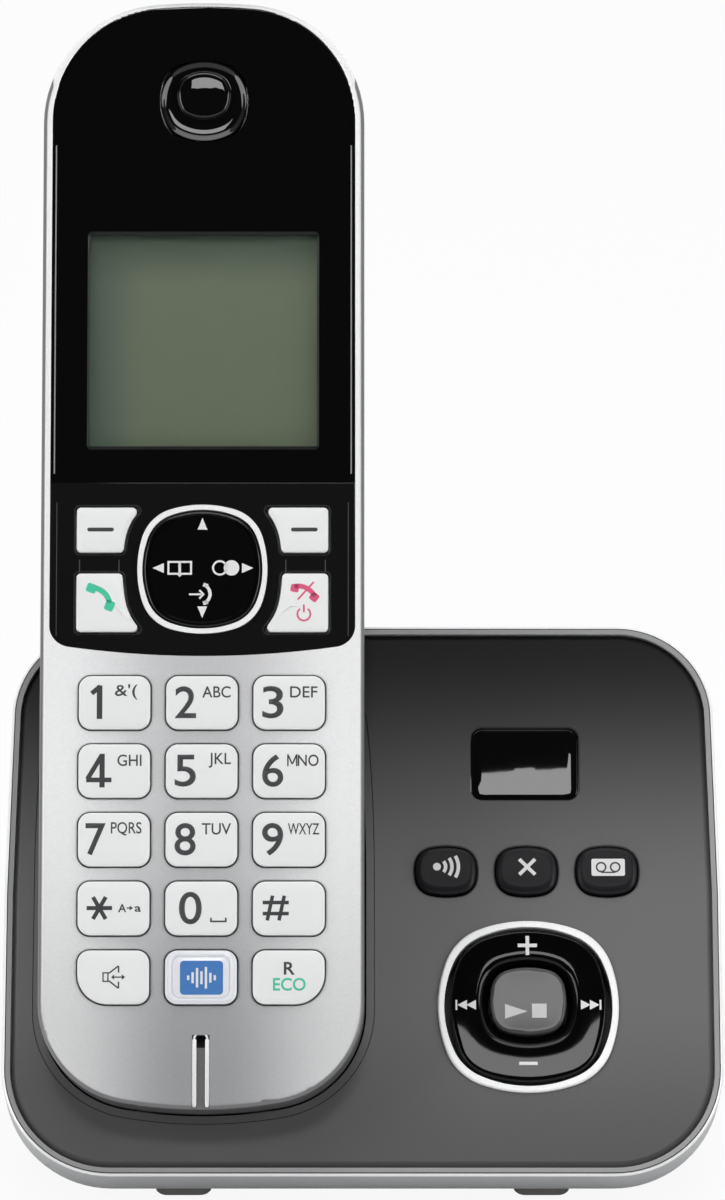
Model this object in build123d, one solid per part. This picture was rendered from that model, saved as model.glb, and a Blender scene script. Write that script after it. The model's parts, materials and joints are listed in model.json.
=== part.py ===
"""Cordless-telephone base with a built-in answering machine and its docked handset.

Millimetres, +Z up, X to the right, Y to the back.  The origin is the bottom centre of the
whole object's bounding box, on the table that the four feet stand on.

Two tilted working planes carry everything that a hand touches.  The base plane lies on the
sloping face of the base: x across, y up the slope, z out of it.  The handset plane lies on
the face of the docked handset in the same way, with its y = 0 at the handset's lower end.
"""
from build123d import *
import math
import os

# ---------------------------------------------------------------- how the two bodies stand
base_tilt = 51.0            # slope of the base's face, degrees from level
handset_tilt = 60.0         # slope of the docked handset's face
lip_height = 8.7            # lower edge of the base's face above the table
dock_side = 6.2             # from the base's side to the docked handset's side
dock_up = 7.7               # lower end of the handset's face, measured up the base's face
dock_out = 12.6             # and measured out of the base's face

# ---------------------------------------------------------------- clearances
press_gap = 0.1             # between fixed pieces that drop into each other
key_gap = 0.25              # round a key or button in its opening
seat_gap = 0.3              # between the handset and its cradle
touch_gap = 0.1             # between a key's flange and the plate that stops it
screw_play = 0.05           # round a screw's thread
screw_clearance = 0.3       # round a screw's shank where it passes through
head_clearance = 0.2        # round a screw's head

# ---------------------------------------------------------------- handset
handset_width = 50.1
handset_length = 173.2
handset_thickness = 24.0    # at the lower end, where the back is flat
stretch = handset_length / 173.2    # what lies along the handset keeps its share of the length
back_flat = 80.0 * stretch  # length of the flat stretch of the back
back_radius = 720.0         # sweep of the back above the flat stretch
back_edge_radius = 5.0
face_edge_radius = 1.0
lower_crown = 4.6           # how far the lower end bows out
upper_crown = 3.6
lower_corner = 15.5
upper_corner = 19.0
handset_wall = 1.6
parting_depth = 9.0         # joint between front and back cover, below the face
plate_thickness = 2.4       # front of the front cover

fascia_depth = 1.2          # thickness of the two black panels
fascia_inset = 1.85         # silver margin round them
seam_y = 96.9 * stretch     # joint between screen panel and key panel
key_panel_low = 69.9 * stretch      # lower edge of the key panel at its middle
key_panel_bow = 1.9
key_panel_corner = 3.6
fascia_edge = 0.3
opening_edge = 0.2          # bevel round the openings of keys and buttons

screen_width = 36.0
screen_height = 34.6 * stretch
screen_y = 119.4 * stretch
screen_ledge = 0.35         # silver ledge that the lens lies on
screen_corner = 0.8
lens_thickness = 1.0
lcd_side = 1.3              # display's reach past its opening, at the sides
lcd_end = 3.7               # and at the ends
lcd_width = screen_width + 2 * lcd_side
lcd_height = screen_height + 2 * lcd_end
lcd_glass = 1.6
lcd_frame_wall = 3.0
lcd_frame_floor = 0.6

ear_y = 157.3 * stretch
ear_width = 13.8
ear_height = 13.0
ear_bulge = 1.4
ear_corner = 4.2
ear_sunk = 0.1              # dish's rim below the face
ear_rim = 0.9
ear_dish = 1.5              # dish's floor below the face
ear_cap = 7.8
ear_cap_bulge = 1.0
ear_cap_corner = 2.6
ear_cap_up = 1.1            # cap's middle, above the dish's middle
ear_cap_rise = 0.1
ear_cap_edge = 0.4
receiver_radius = 7.0
receiver_thickness = 3.0

nav_y = 83.4 * stretch
nav_trim_wall = 0.75
nav_trim_wall_out = 1.0     # ring's outer edge, out from the key's edge
nav_width = 18.1 * stretch
nav_bulge = 2.0
nav_corner = 5.6
nav_key_depth = 2.6
nav_rise = 0.35
nav_pivot_radius = 3.0
nav_pivot_gap = 0.3

key_travel = 0.5
key_rise = 0.6
key_edge = 0.35
key_flange = 0.6            # flange's reach past the key's sides
key_flange_thickness = 0.8
key_width = 11.0
key_height = 8.25 * stretch
key_corner = 1.9
key_bulge = 0.2
key_pitch_x = 13.45
key_pitch_y = 10.6 * stretch
last_row_y = 20.2 * stretch         # middle of the lowest row
last_row_corner = 4.6       # outer lower corners of the lowest row
soft_key_low = 86.0 * stretch
soft_key_high = 93.0 * stretch
call_key_low = 73.6 * stretch
call_key_high = 82.7 * stretch
side_key_margin = 5.6       # from the handset's side to the keys beside the ring
side_key_outer = handset_width / 2 - side_key_margin
side_key_reach = 2.3        # gap between the ring and the keys that curve round it
side_key_corner = 0.7

board_top = 5.6             # circuit board below the face
board_thickness = 1.2
mat_thickness = 1.0
mat_play = 0.1              # between a key's flange and its dome, beyond the travel
mat_post_width = 4.0
mat_post_corner = 1.2
mat_margin = 4.25           # from the handset's side to the mat
mat_half_width = handset_width / 2 - mat_margin
mat_low = 14.0 * stretch
board_inset = 3.0
board_past_screws = 3.5

mic_y = 10.4
mic_hole = 1.9
mic_groove_width = 2.7
mic_groove_depth = 0.45
mic_groove_past = 1.0       # groove's reach past the hole's middle
mic_radius = 2.0
mic_thickness = 3.0

front_boss_radius = 2.2
screw_end_gap = 2.4         # from the display's lower end to the lower screws
lower_screw_x = handset_width / 2 - 4.65
lower_screw_y = screen_y - lcd_height / 2 - screw_end_gap
upper_screw_x = handset_width / 2 - 8.05
upper_screw_y = 146.5 * stretch
screw_places = [
    (-lower_screw_x, lower_screw_y),
    (lower_screw_x, lower_screw_y),
    (-upper_screw_x, upper_screw_y),
    (upper_screw_x, upper_screw_y),
]
back_boss_radius = 2.6
boss_joint = 12.0           # depth where the front and back bosses meet
screw_head_depth = 18.0
screw_head_radius = 2.1
screw_head_thickness = 1.5
screw_shank_radius = 0.9
screw_tip_depth = 6.0

bay_half_width = 12.0       # battery bay in the back
bay_low = 28.0
bay_high = 76.0
bay_floor = 10.2
bay_wall = 1.2
cover_margin = 6.15         # from the handset's side to the battery cover
cover_half_width = handset_width / 2 - cover_margin
cover_low = 23.2
cover_high = 83.9
cover_travel = 3.0
cover_thickness = 1.55
ledge_side = 1.4            # ledge round the cover's opening: at its sides
ledge_low = 1.6             # at its lower end
ledge_high = 2.0            # and past the tongue
ledge_thickness = 1.2
cover_low_gap = 0.2         # under the cover at the end of its travel
tongue_half_width = 5.8
tongue_reach = 2.7
tongue_thickness = 0.7
tongue_root = 0.5           # tongue's overlap with the cover's plate
tongue_gap = 0.2            # beside the tongue
tongue_end_gap = 0.3
tongue_run = 6.0            # slot's length below the cover's upper edge
grip_low = 28.0             # lowest grip groove
grip_pitch = 2.4
grip_grooves = 4
grip_width = 18.0
grip_height = 0.8
grip_depth = 0.3
cell_radius = 5.2           # AAA cell
cell_length = 44.5
cell_spacing = 11.0
cell_depth = 15.6
cell_nub_radius = 1.9
cell_nub = 1.0
contact_plate = 0.6
contact_width = 8.0
contact_deep = 20.0
contact_shallow = 11.5
spring_room = 2.0           # between a cell's flat end and its contact
spring_length = 1.7
spring_wide = 3.4
spring_narrow = 2.0

speaker_radius = 10.0       # hands-free speaker
speaker_thickness = 4.5
speaker_y = 112.0 * stretch
speaker_edge = 1.5          # from the speaker's edge to the ends of the slots
slot_width = 1.2
slot_pitch = 2.8

charge_x = 9.0              # charge contacts, each side of the handset's middle
charge_width = 4.0
charge_shallow = 15.4
charge_deep = 18.6
charge_recess = 1.5
charge_plate = 0.4
charge_nub_gap = 0.15
charge_leg = 5.0            # cradle contact's leg, past its nub
charge_leg_thickness = 0.8
charge_nub_length = 1.6     # nub behind the seat's wall
charge_nub_side = 1.5       # nub narrower than the handset's strip
charge_leg_side = 1.0
charge_slot_gap = 0.2

# ---------------------------------------------------------------- base
base_half_width = 56.0      # half width of the face below the bend in its sides
base_draw_in = 1.1          # how far each side draws in
base_half_top = base_half_width - base_draw_in
base_face_height = 88.6
face_stretch = base_face_height / 88.6      # what lies up the face keeps its share of the height
base_bend = 45.0 * face_stretch     # where the sides begin to draw in
base_corner_low = 17.0
base_corner_top = 15.0
rim_width = 1.3
rim_edge = 0.6
skirt_depth = 9.6
skirt_wall = 2.2
ledge_reach = 3.4           # ledge under the face panel, from the outer edge
ledge_depth = 1.6
panel_thickness = 2.0
panel_sunk = 0.1
panel_bevel = 0.9
case_inset = 1.2            # lower case, drawn in from the skirt
case_wall = 2.0
lap_height = 2.2
lap_wall = 1.2
lap_root = 1.0              # lip's root in the case's wall
base_depth = 88.0
knee_height = 22.0          # top of the upright part of the rear wall
crest_out = 2.8             # leaning rear wall's crest, behind the skirt's end
crest_up = 1.2              # and above it
rear_edge = 6.0
steep = 0.7                 # rise of an edge along itself, from which it belongs to a rear corner
foot_height = 2.3
floor_thickness = 2.2
foot_width = 8.6
foot_length = 9.0
foot_corner = 1.8
foot_sunk = 0.6
foot_edge = 0.3
front_foot_x = base_half_width / 2
front_foot_y = 14.6         # behind the lip
rear_foot_x = base_half_width - 18.0
rear_foot_y = base_depth - 9.0
foot_places = [
    (-front_foot_x, front_foot_y),
    (front_foot_x, front_foot_y),
    (-rear_foot_x, rear_foot_y),
    (rear_foot_x, rear_foot_y),
]
front_screw_x = base_half_width - 9.0
front_screw_y = 24.0
rear_screw_x = base_half_width - 6.8
rear_screw_y = base_depth - 18.0
base_screw_places = [
    (-front_screw_x, front_screw_y),
    (front_screw_x, front_screw_y),
    (-rear_screw_x, rear_screw_y),
    (rear_screw_x, rear_screw_y),
]
base_boss_radius = 3.3
base_boss_height = 5.2
base_head_radius = 2.6
base_head_thickness = 1.3
base_head_sunk = 0.2
base_shank_radius = 1.1
base_tip_gap = 0.4          # below the end of a screw's hole
base_hole_cap = 0.8         # solid top of a boss above its hole
base_rib_thickness = 2.4
base_rib_inset = 1.0        # rib's end, inside the case's side

tray_wall = 1.2
tray_end = 74.0             # upper end of the cradle's separate floor
tray_sunk = 0.15
tray_flange = 2.4           # flange's reach under the panel
tray_flange_thickness = 1.2

dock_x = dock_side + handset_width / 2 - base_half_width    # docked handset's middle
dock_edge = dock_x + handset_width / 2      # and its side by the controls
controls_x = (dock_edge + base_half_width) / 2 - 2.35       # the controls stand left of the room's middle
window_x = controls_x - 0.3
window_y = 66.0 * face_stretch
window_width = 17.0
window_height = 11.8
window_corner = 1.8
window_sunk = 0.6
window_flange = 1.0
window_flange_thickness = 0.8
counter_width = 15.0
counter_height = 10.0

button_width = 9.5
button_height = 7.8
button_bulge = 0.8
button_corner = 2.9
button_rise = 0.7
button_edge = 0.5
button_y = 48.5 * face_stretch
button_middle_x = controls_x - 0.15
button_pitch = 12.6
button_travel = 0.6
button_flange = 0.8
button_flange_thickness = 1.0
stem_width = 4.5
stem_play = 0.2             # between a stem and the mat, beyond the travel

ring_x = controls_x
ring_y = 26.8 * face_stretch
ring_trim_width = 28.2
ring_trim_height = 27.4
ring_trim_bulge = 3.0
ring_trim_corner = 9.0
ring_trim_wall = 1.0
ring_trim_rise = 0.4
ring_trim_flange = 1.0
ring_trim_flange_thickness = 0.8
ring_trim_edge = 0.3
ring_width = 24.4
ring_height = 24.5
ring_bulge = 2.6
ring_corner = 7.6
ring_rise = 1.0
ring_depth = 4.0
ring_edge = 1.0
ring_plunger_radius = 1.0
ring_plunger_place = 10.0
ring_plunger_depth = 7.2
stop_width = 11.9
stop_height = 10.8
stop_bulge = 1.0
stop_corner = 3.4
stop_up = 0.9               # middle of the play/stop button above the ring's middle
stop_gap = 0.4
stop_rise = 0.3
stop_depth = 3.2            # button's lower face, clear of the collar when pressed
ring_pivot_outer = 8.0
ring_pivot_inner = 6.8
ring_pivot_gap = 0.45

base_board_top = 9.0        # circuit board below the base's face
base_board_thickness = 1.6
base_board_dock_gap = 4.7   # from the handset's side to the board
base_board_side = 5.0       # from the base's side to the board
base_board_low = 8.5        # from the face's lower edge
base_board_high = 8.1       # from its upper edge
base_board_width = base_half_width - base_board_side - dock_edge - base_board_dock_gap
base_board_height = base_face_height - base_board_low - base_board_high
base_board_corner = 8.0
base_board_x = base_half_width - base_board_side - base_board_width / 2
base_board_y = base_board_low + base_board_height / 2
base_mat_thickness = 1.0
base_mat_margin = 3.0       # board showing past the mat's sides
base_mat_height = 48.0 * face_stretch
base_mat_corner = 3.0
base_mat_drop = 17.5 * face_stretch     # mat's middle below the row of buttons
post_left = base_board_x - base_board_width / 2 + 3.6
post_right = base_board_x + base_board_width / 2 - 5.0
post_low = base_board_y - base_board_height / 2 + 4.1
post_high = base_board_y + base_board_height / 2 - 4.5
post_places = [
    (post_left, post_low),
    (post_right, post_low),
    (post_left, post_high),
    (post_right, post_high),
]
post_radius = 2.4
post_cap = 1.0              # solid top of a post above its hole
board_head_radius = 2.4
board_head_thickness = 1.3
board_screw_length = 5.0
head_overlap = 0.2          # shank's root in its head

base_speaker_radius = 18.0
base_speaker_thickness = 11.0
base_speaker_rim = 5.0      # thickness of its front part
base_speaker_edge = 3.0     # from its edge to the ends of the slots
base_slot_width = 1.4
base_slot_pitch = 3.2
base_speaker_x = 16.0
base_speaker_back = 48.0    # behind the lip

line_socket_x = base_half_width - 22.0
line_socket_width = 9.7
line_socket_height = 6.7
line_socket_depth = 11.0
power_socket_x = line_socket_x - 20.0
power_socket_width = 6.4
power_socket_height = 5.0
power_socket_depth = 9.0
socket_wall = 2.2
socket_window_gap = 0.4
socket_middle = 6.0         # socket's middle above the floor plate

far = 150.0                 # longer than the object, for cutting through


# ---------------------------------------------------------------- drawing helpers
def soft_square(width, height, bulge, radius, grow=0.0):
    """Rounded rectangle whose four sides swell outwards by the bulge, moved out by grow."""
    across = width / 2 + grow
    along = height / 2 + grow
    side = across - bulge
    end = along - bulge
    lower = ThreePointArc((-side, -end), (0, -along), (side, -end))
    right = ThreePointArc((side, -end), (across, 0), (side, end))
    upper = ThreePointArc((side, end), (0, along), (-side, end))
    left = ThreePointArc((-side, end), (-across, 0), (-side, -end))
    face = make_face([lower, right, upper, left])
    return fillet(face.vertices(), radius + grow)


def layer(sketch, high, low):
    """Solid that a sketch fills between two heights of its own plane."""
    return Pos(0, 0, low) * extrude(sketch, high - low)


def block(low_corner, high_corner):
    """Box between two opposite corners."""
    size = [high - low for low, high in zip(low_corner, high_corner)]
    middle = [(high + low) / 2 for low, high in zip(low_corner, high_corner)]
    return Pos(*middle) * Box(*size)


def post(x, y, radius, high, low):
    """Round post that stands along the plane's z."""
    return Pos(x, y, (high + low) / 2) * Cylinder(radius, high - low)


def top_edges(solid, height):
    """Edges that lie at one height."""
    return solid.edges().filter_by_position(Axis.Z, height - 0.01, height + 0.01)


def eased(solid, height, openings, size):
    """The solid with the rims of its openings bevelled at one height."""
    rims = []
    for edge in top_edges(solid, height):
        middle = edge.center()
        for opening in openings:
            room = opening.bounding_box().add(middle)
            if room.size.length - opening.bounding_box().size.length < 0.01:
                rims.append(edge)
                break
    return chamfer(rims, size)


# ---------------------------------------------------------------- outer forms
def back_depth(y):
    """Depth of the handset's back below its face, at a place up the handset."""
    rise = max(0.0, y - back_flat)
    return handset_thickness - back_radius + math.sqrt(back_radius ** 2 - rise ** 2)


def bowed_end(crown, inset):
    """Distance from the end of the handset to where its bowed end meets its side."""
    half = handset_width / 2
    radius = (half ** 2 + crown ** 2) / (2 * crown)
    return radius - math.sqrt((radius - inset) ** 2 - (half - inset) ** 2)


def handset_outline(inset=0.0):
    """Front view of the handset: straight sides between two bowed, rounded ends."""
    half = handset_width / 2 - inset
    low = bowed_end(lower_crown, inset)
    high = handset_length - bowed_end(upper_crown, inset)
    lower = ThreePointArc((-half, low), (0, inset), (half, low))
    right = Line((half, low), (half, high))
    upper = ThreePointArc((half, high), (0, handset_length - inset), (-half, high))
    left = Line((-half, high), (-half, low))
    face = make_face([lower, right, upper, left])
    face = fillet(face.vertices().sort_by(Axis.Y)[:2], lower_corner - inset)
    return fillet(face.vertices().sort_by(Axis.Y)[-2:], upper_corner - inset)


def handset_envelope(grow):
    """Whole outer form of the handset, moved out by an amount; the cradle is cut with it."""
    margin = 10.0
    high = handset_length + margin
    middle = (back_flat + high) / 2
    deep = handset_thickness + grow
    floor = Line((-margin, -deep), (back_flat, -deep))
    bend = ThreePointArc(
        (back_flat, -deep),
        (middle, -back_depth(middle) - grow),
        (high, -back_depth(high) - grow),
    )
    rest = Polyline((high, -back_depth(high) - grow), (high, grow), (-margin, grow), (-margin, -deep))
    side_view = make_face([floor, bend] + rest.edges())
    body = extrude(Plane.YZ * side_view, handset_width, both=True)
    body = body & layer(handset_outline(-grow), far, -far)
    seam_free = [e for e in body.edges() if abs(e.center().Y - back_flat) > 1.0]
    back_edges = [e for e in seam_free if e.center().Z < -0.7 * handset_thickness]
    return fillet(ShapeList(back_edges), back_edge_radius + grow)


def fascia_area(inset=0.0):
    """Outline that the two black panels fill together."""
    half = handset_width / 2 - fascia_inset - inset
    middle = key_panel_low + inset
    low = middle + key_panel_bow
    lower = ThreePointArc((-half, low), (0, middle), (half, low))
    rest = Polyline((half, low), (half, handset_length), (-half, handset_length), (-half, low))
    area = make_face([lower] + rest.edges())
    area = area & handset_outline(fascia_inset + inset)
    return fillet(area.vertices().sort_by(Axis.Y)[:2], key_panel_corner - inset)


def band(low, high):
    """Strip across the handset between two places up it."""
    return Pos(0, (low + high) / 2) * Rectangle(2 * handset_width, high - low)


def base_blank(inset=0.0):
    """Front view of the base's face, a little narrower at the top, before its upper corners."""
    low = inset
    high = base_face_height - inset
    side = base_half_width - inset
    top = base_half_top - inset
    right = [(side, low), (side, base_bend), (top, high)]
    left = [(-top, high), (-side, base_bend), (-side, low)]
    face = make_face(Polyline(*right, *left, right[0]))
    return fillet(face.vertices().sort_by(Axis.Y)[:2], base_corner_low - inset)


def base_outline(inset=0.0):
    """Front view of the base's face."""
    face = base_blank(inset)
    return fillet(face.vertices().sort_by(Axis.Y)[-2:], base_corner_top - inset)


# ---------------------------------------------------------------- the two working planes
def tilted(angle, origin):
    """Working plane that slopes up to the back at an angle from level."""
    lean = math.radians(angle)
    return Plane(origin=origin, x_dir=(1, 0, 0), z_dir=(0, -math.sin(lean), math.cos(lean)))


def docked_plane(base_plane):
    """Plane of the docked handset's face."""
    foot = base_plane.from_local_coords(Vector(dock_x, dock_up, dock_out))
    return tilted(handset_tilt, foot)


def lip_from_origin():
    """Place of the face's lower edge that puts the bounding box's middle over the origin."""
    trial = docked_plane(tilted(base_tilt, (0, 0, lip_height)))
    reach = (trial * handset_envelope(0.0)).bounding_box()
    front = min(0.0, reach.min.Y)
    rear = max(base_depth, reach.max.Y)
    return -(front + rear) / 2


def crest():
    """Where the leaning rear wall meets the skirt: behind the lip, and above the table."""
    lean = math.radians(base_tilt)
    back = base_face_height * math.cos(lean) + skirt_depth * math.sin(lean) + crest_out
    height = lip_height + base_face_height * math.sin(lean) - skirt_depth * math.cos(lean) + crest_up
    return back, height


lip_y = lip_from_origin()
rear_y = lip_y + base_depth
base_plane = tilted(base_tilt, (0, lip_y, lip_height))
handset_plane = docked_plane(base_plane)
to_base = base_plane.location.inverse()
handset_in_base = to_base * handset_plane.location


# ---------------------------------------------------------------- keys
def nav_outline(grow=0.0):
    """Outline of the navigation key, and of what goes round it."""
    return Pos(0, nav_y) * soft_square(nav_width, nav_width, nav_bulge, nav_corner, grow)


def side_key(side, low, high, grow=0.0):
    """Key beside the navigation ring, hollowed to follow the ring."""
    inner = nav_width / 4
    outer = side_key_outer + grow
    middle = (low + high) / 2
    half_height = (high - low) / 2 + grow
    key = Pos(side * (outer + inner) / 2, middle) * Rectangle(outer - inner, 2 * half_height)
    key = key - nav_outline(nav_trim_wall_out + side_key_reach - grow)
    corners = [v for v in key.vertices() if abs(abs(v.Y - middle) - half_height) < 0.01]
    return fillet(ShapeList(corners), side_key_corner)


def grid_key(column, row, grow=0.0):
    """Keypad key by column -1 to 1 and row 0 (lowest) to 4."""
    key = RectangleRounded(key_width + 2 * grow, key_height + 2 * grow, key_corner + grow)
    if row == 0 and column:
        key = Rectangle(key_width + 2 * grow, key_height + 2 * grow)
        far_corner = (column * key_width, -key_height)
        ranked = key.vertices().sort_by_distance(far_corner)
        key = fillet(ranked[1:], key_corner + grow)
        key = fillet(key.vertices().sort_by_distance(far_corner)[0], last_row_corner + grow)
    return Pos(column * key_pitch_x, last_row_y + row * key_pitch_y) * key


key_names = [
    ["key_speaker", "key_noise", "key_recall"],
    ["key_star", "key_0", "key_hash"],
    ["key_7", "key_8", "key_9"],
    ["key_4", "key_5", "key_6"],
    ["key_1", "key_2", "key_3"],
]


side_key_names = ["soft_key_left", "soft_key_right", "talk_key", "off_key"]


def key_outlines(grow=0.0):
    """Every handset key's outline by name, moved out by an amount."""
    outlines = {}
    for row, names in enumerate(key_names):
        for place, name in enumerate(names):
            outlines[name] = grid_key(place - 1, row, grow)
    outlines["soft_key_left"] = side_key(-1, soft_key_low, soft_key_high, grow)
    outlines["soft_key_right"] = side_key(1, soft_key_low, soft_key_high, grow)
    outlines["talk_key"] = side_key(-1, call_key_low, call_key_high, grow)
    outlines["off_key"] = side_key(1, call_key_low, call_key_high, grow)
    return outlines


def handset_key(outline, flange_outline):
    """Key cap with rounded rim, and the flange that keeps it behind the plate."""
    shoulder = -plate_thickness - touch_gap
    cap = layer(outline, key_rise, shoulder)
    cap = fillet(top_edges(cap, key_rise), key_edge)
    return cap + layer(flange_outline, shoulder, shoulder - key_flange_thickness)


def nav_key():
    """Four-way key: a flat disc with a rounded rim that rocks on its pivot."""
    key = layer(nav_outline(), nav_rise, -nav_key_depth)
    return fillet(top_edges(key, nav_rise), key_edge)


def nav_pivot():
    """Small disc between the four-way key and the key mat, on which the key rocks."""
    high = -nav_key_depth - nav_pivot_gap
    low = -board_top + mat_thickness + nav_pivot_gap
    return post(0, nav_y, nav_pivot_radius, high, low)


def nav_trim():
    """Bright ring round the four-way key, standing on the cover's recess."""
    outer = nav_outline(nav_trim_wall_out)
    inner = nav_outline(nav_trim_wall_out - nav_trim_wall)
    return layer(outer, nav_rise, -fascia_depth) - layer(inner, far, -far)


# ---------------------------------------------------------------- handset shells and panels
def screen_outline(inset=0.0):
    """Display opening, or what fits it."""
    shape = RectangleRounded(screen_width - 2 * inset, screen_height - 2 * inset, screen_corner)
    return Pos(0, screen_y) * shape


def ear_outline(inset=0.0):
    """Earpiece opening, or what fits it."""
    shape = soft_square(ear_width - 2 * inset, ear_height - 2 * inset, ear_bulge, ear_corner)
    return Pos(0, ear_y) * shape


def handset_front_cover():
    """Silver front shell with a shallow bed for the black panels and openings for the keys."""
    shell = layer(handset_outline(), 0, -parting_depth)
    shell = fillet(top_edges(shell, 0), face_edge_radius)
    shell = shell - layer(handset_outline(handset_wall), -plate_thickness, -far)
    shell = shell - layer(fascia_area(), far, -fascia_depth)
    shell = shell - layer(screen_outline(screen_ledge), far, -far)
    shell = shell - layer(ear_outline(), far, -far)
    shell = shell - layer(nav_outline(2 * key_gap), far, -far)
    openings = key_outlines(key_gap)
    for opening in openings.values():
        shell = shell - layer(opening, far, -far)
    keypad = [openings[name] for row in key_names for name in row]
    shell = eased(shell, 0, keypad, opening_edge)
    groove_end = mic_y + mic_groove_past
    groove = block((-mic_groove_width / 2, -far, -mic_groove_depth), (mic_groove_width / 2, groove_end, far))
    hole = block((-mic_hole / 2, mic_y - mic_hole / 2, -far), (mic_hole / 2, mic_y + mic_hole / 2, far))
    shell = shell - groove - hole
    for x, y in screw_places:
        shell = shell + post(x, y, front_boss_radius, -plate_thickness, -boss_joint)
        shell = shell - post(x, y, screw_shank_radius + screw_play, -board_top, -boss_joint)
    return shell


def screen_fascia():
    """Upper black panel, with the display's and the earpiece's openings."""
    outline = fascia_area(press_gap) & band(seam_y + press_gap / 2, handset_length)
    panel = layer(outline, 0, -fascia_depth)
    panel = fillet(top_edges(panel, 0), fascia_edge)
    return panel - layer(screen_outline(), far, -far) - layer(ear_outline(), far, -far)


def key_fascia():
    """Lower black panel, round the four-way key and the four keys beside it."""
    outline = fascia_area(press_gap) & band(0, seam_y - press_gap / 2)
    panel = layer(outline, 0, -fascia_depth)
    panel = fillet(top_edges(panel, 0), fascia_edge)
    panel = panel - layer(nav_outline(nav_trim_wall_out + press_gap), far, -far)
    openings = key_outlines(key_gap)
    beside = [openings[name] for name in side_key_names]
    for opening in beside:
        panel = panel - layer(opening, far, -far)
    return eased(panel, 0, beside, opening_edge)


def display_lens():
    """Clear cover over the display."""
    low = -fascia_depth
    return layer(screen_outline(press_gap), low + lens_thickness, low)


def lcd_module():
    """Display glass on the frame that stands it on the circuit board."""
    outline = Pos(0, screen_y) * Rectangle(lcd_width, lcd_height)
    glass = layer(outline, -plate_thickness, -plate_thickness - lcd_glass)
    frame = layer(outline, -plate_thickness - lcd_glass, -board_top)
    window = Pos(0, screen_y) * Rectangle(lcd_width - 2 * lcd_frame_wall, lcd_height - 2 * lcd_frame_wall)
    return Compound([glass, frame - layer(window, far, -board_top + lcd_frame_floor)])


def earpiece_insert():
    """Dished sound outlet with a raised cap in its middle."""
    bowl = layer(ear_outline(press_gap), -ear_sunk, -plate_thickness)
    dish = layer(ear_outline(press_gap + ear_rim), far, -ear_dish)
    cap_outline = Pos(0, ear_y + ear_cap_up) * soft_square(ear_cap, ear_cap, ear_cap_bulge, ear_cap_corner)
    cap = layer(cap_outline, ear_cap_rise, -ear_dish)
    cap = fillet(top_edges(cap, ear_cap_rise), ear_cap_edge)
    return bowl - dish + cap


def earpiece_receiver():
    """Earpiece capsule behind the outlet."""
    return post(0, ear_y, receiver_radius, -plate_thickness, -plate_thickness - receiver_thickness)


def keypad_mat():
    """Rubber sheet on the circuit board with a dome under every key."""
    high = -board_top + mat_thickness
    flange_low = -plate_thickness - touch_gap - key_flange_thickness
    sheet = block((-mat_half_width, mat_low, -board_top), (mat_half_width, soft_key_high + key_flange, high))
    for outline in key_outlines().values():
        middle = outline.center()
        dome = Pos(middle.X, middle.Y) * RectangleRounded(mat_post_width, mat_post_width, mat_post_corner)
        sheet = sheet + layer(dome, flange_low - key_travel - mat_play, high)
    return sheet


def handset_circuit_board():
    """Main board of the handset, notched for the screw bosses."""
    outline = handset_outline(board_inset) & band(0, screw_places[-1][1] + board_past_screws)
    board = layer(outline, -board_top, -board_top - board_thickness)
    for x, y in screw_places:
        board = board - post(x, y, back_boss_radius, far, -far)
    return board


def microphone():
    """Microphone capsule on the board, behind its hole."""
    return post(0, mic_y, mic_radius, -board_top + mic_thickness, -board_top)


def charge_block(side, shallow, deep, low, high, width):
    """Box at one charge contact of the handset's lower end."""
    middle = side * charge_x
    return block((middle - width / 2, low, -deep), (middle + width / 2, high, -shallow))


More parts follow.
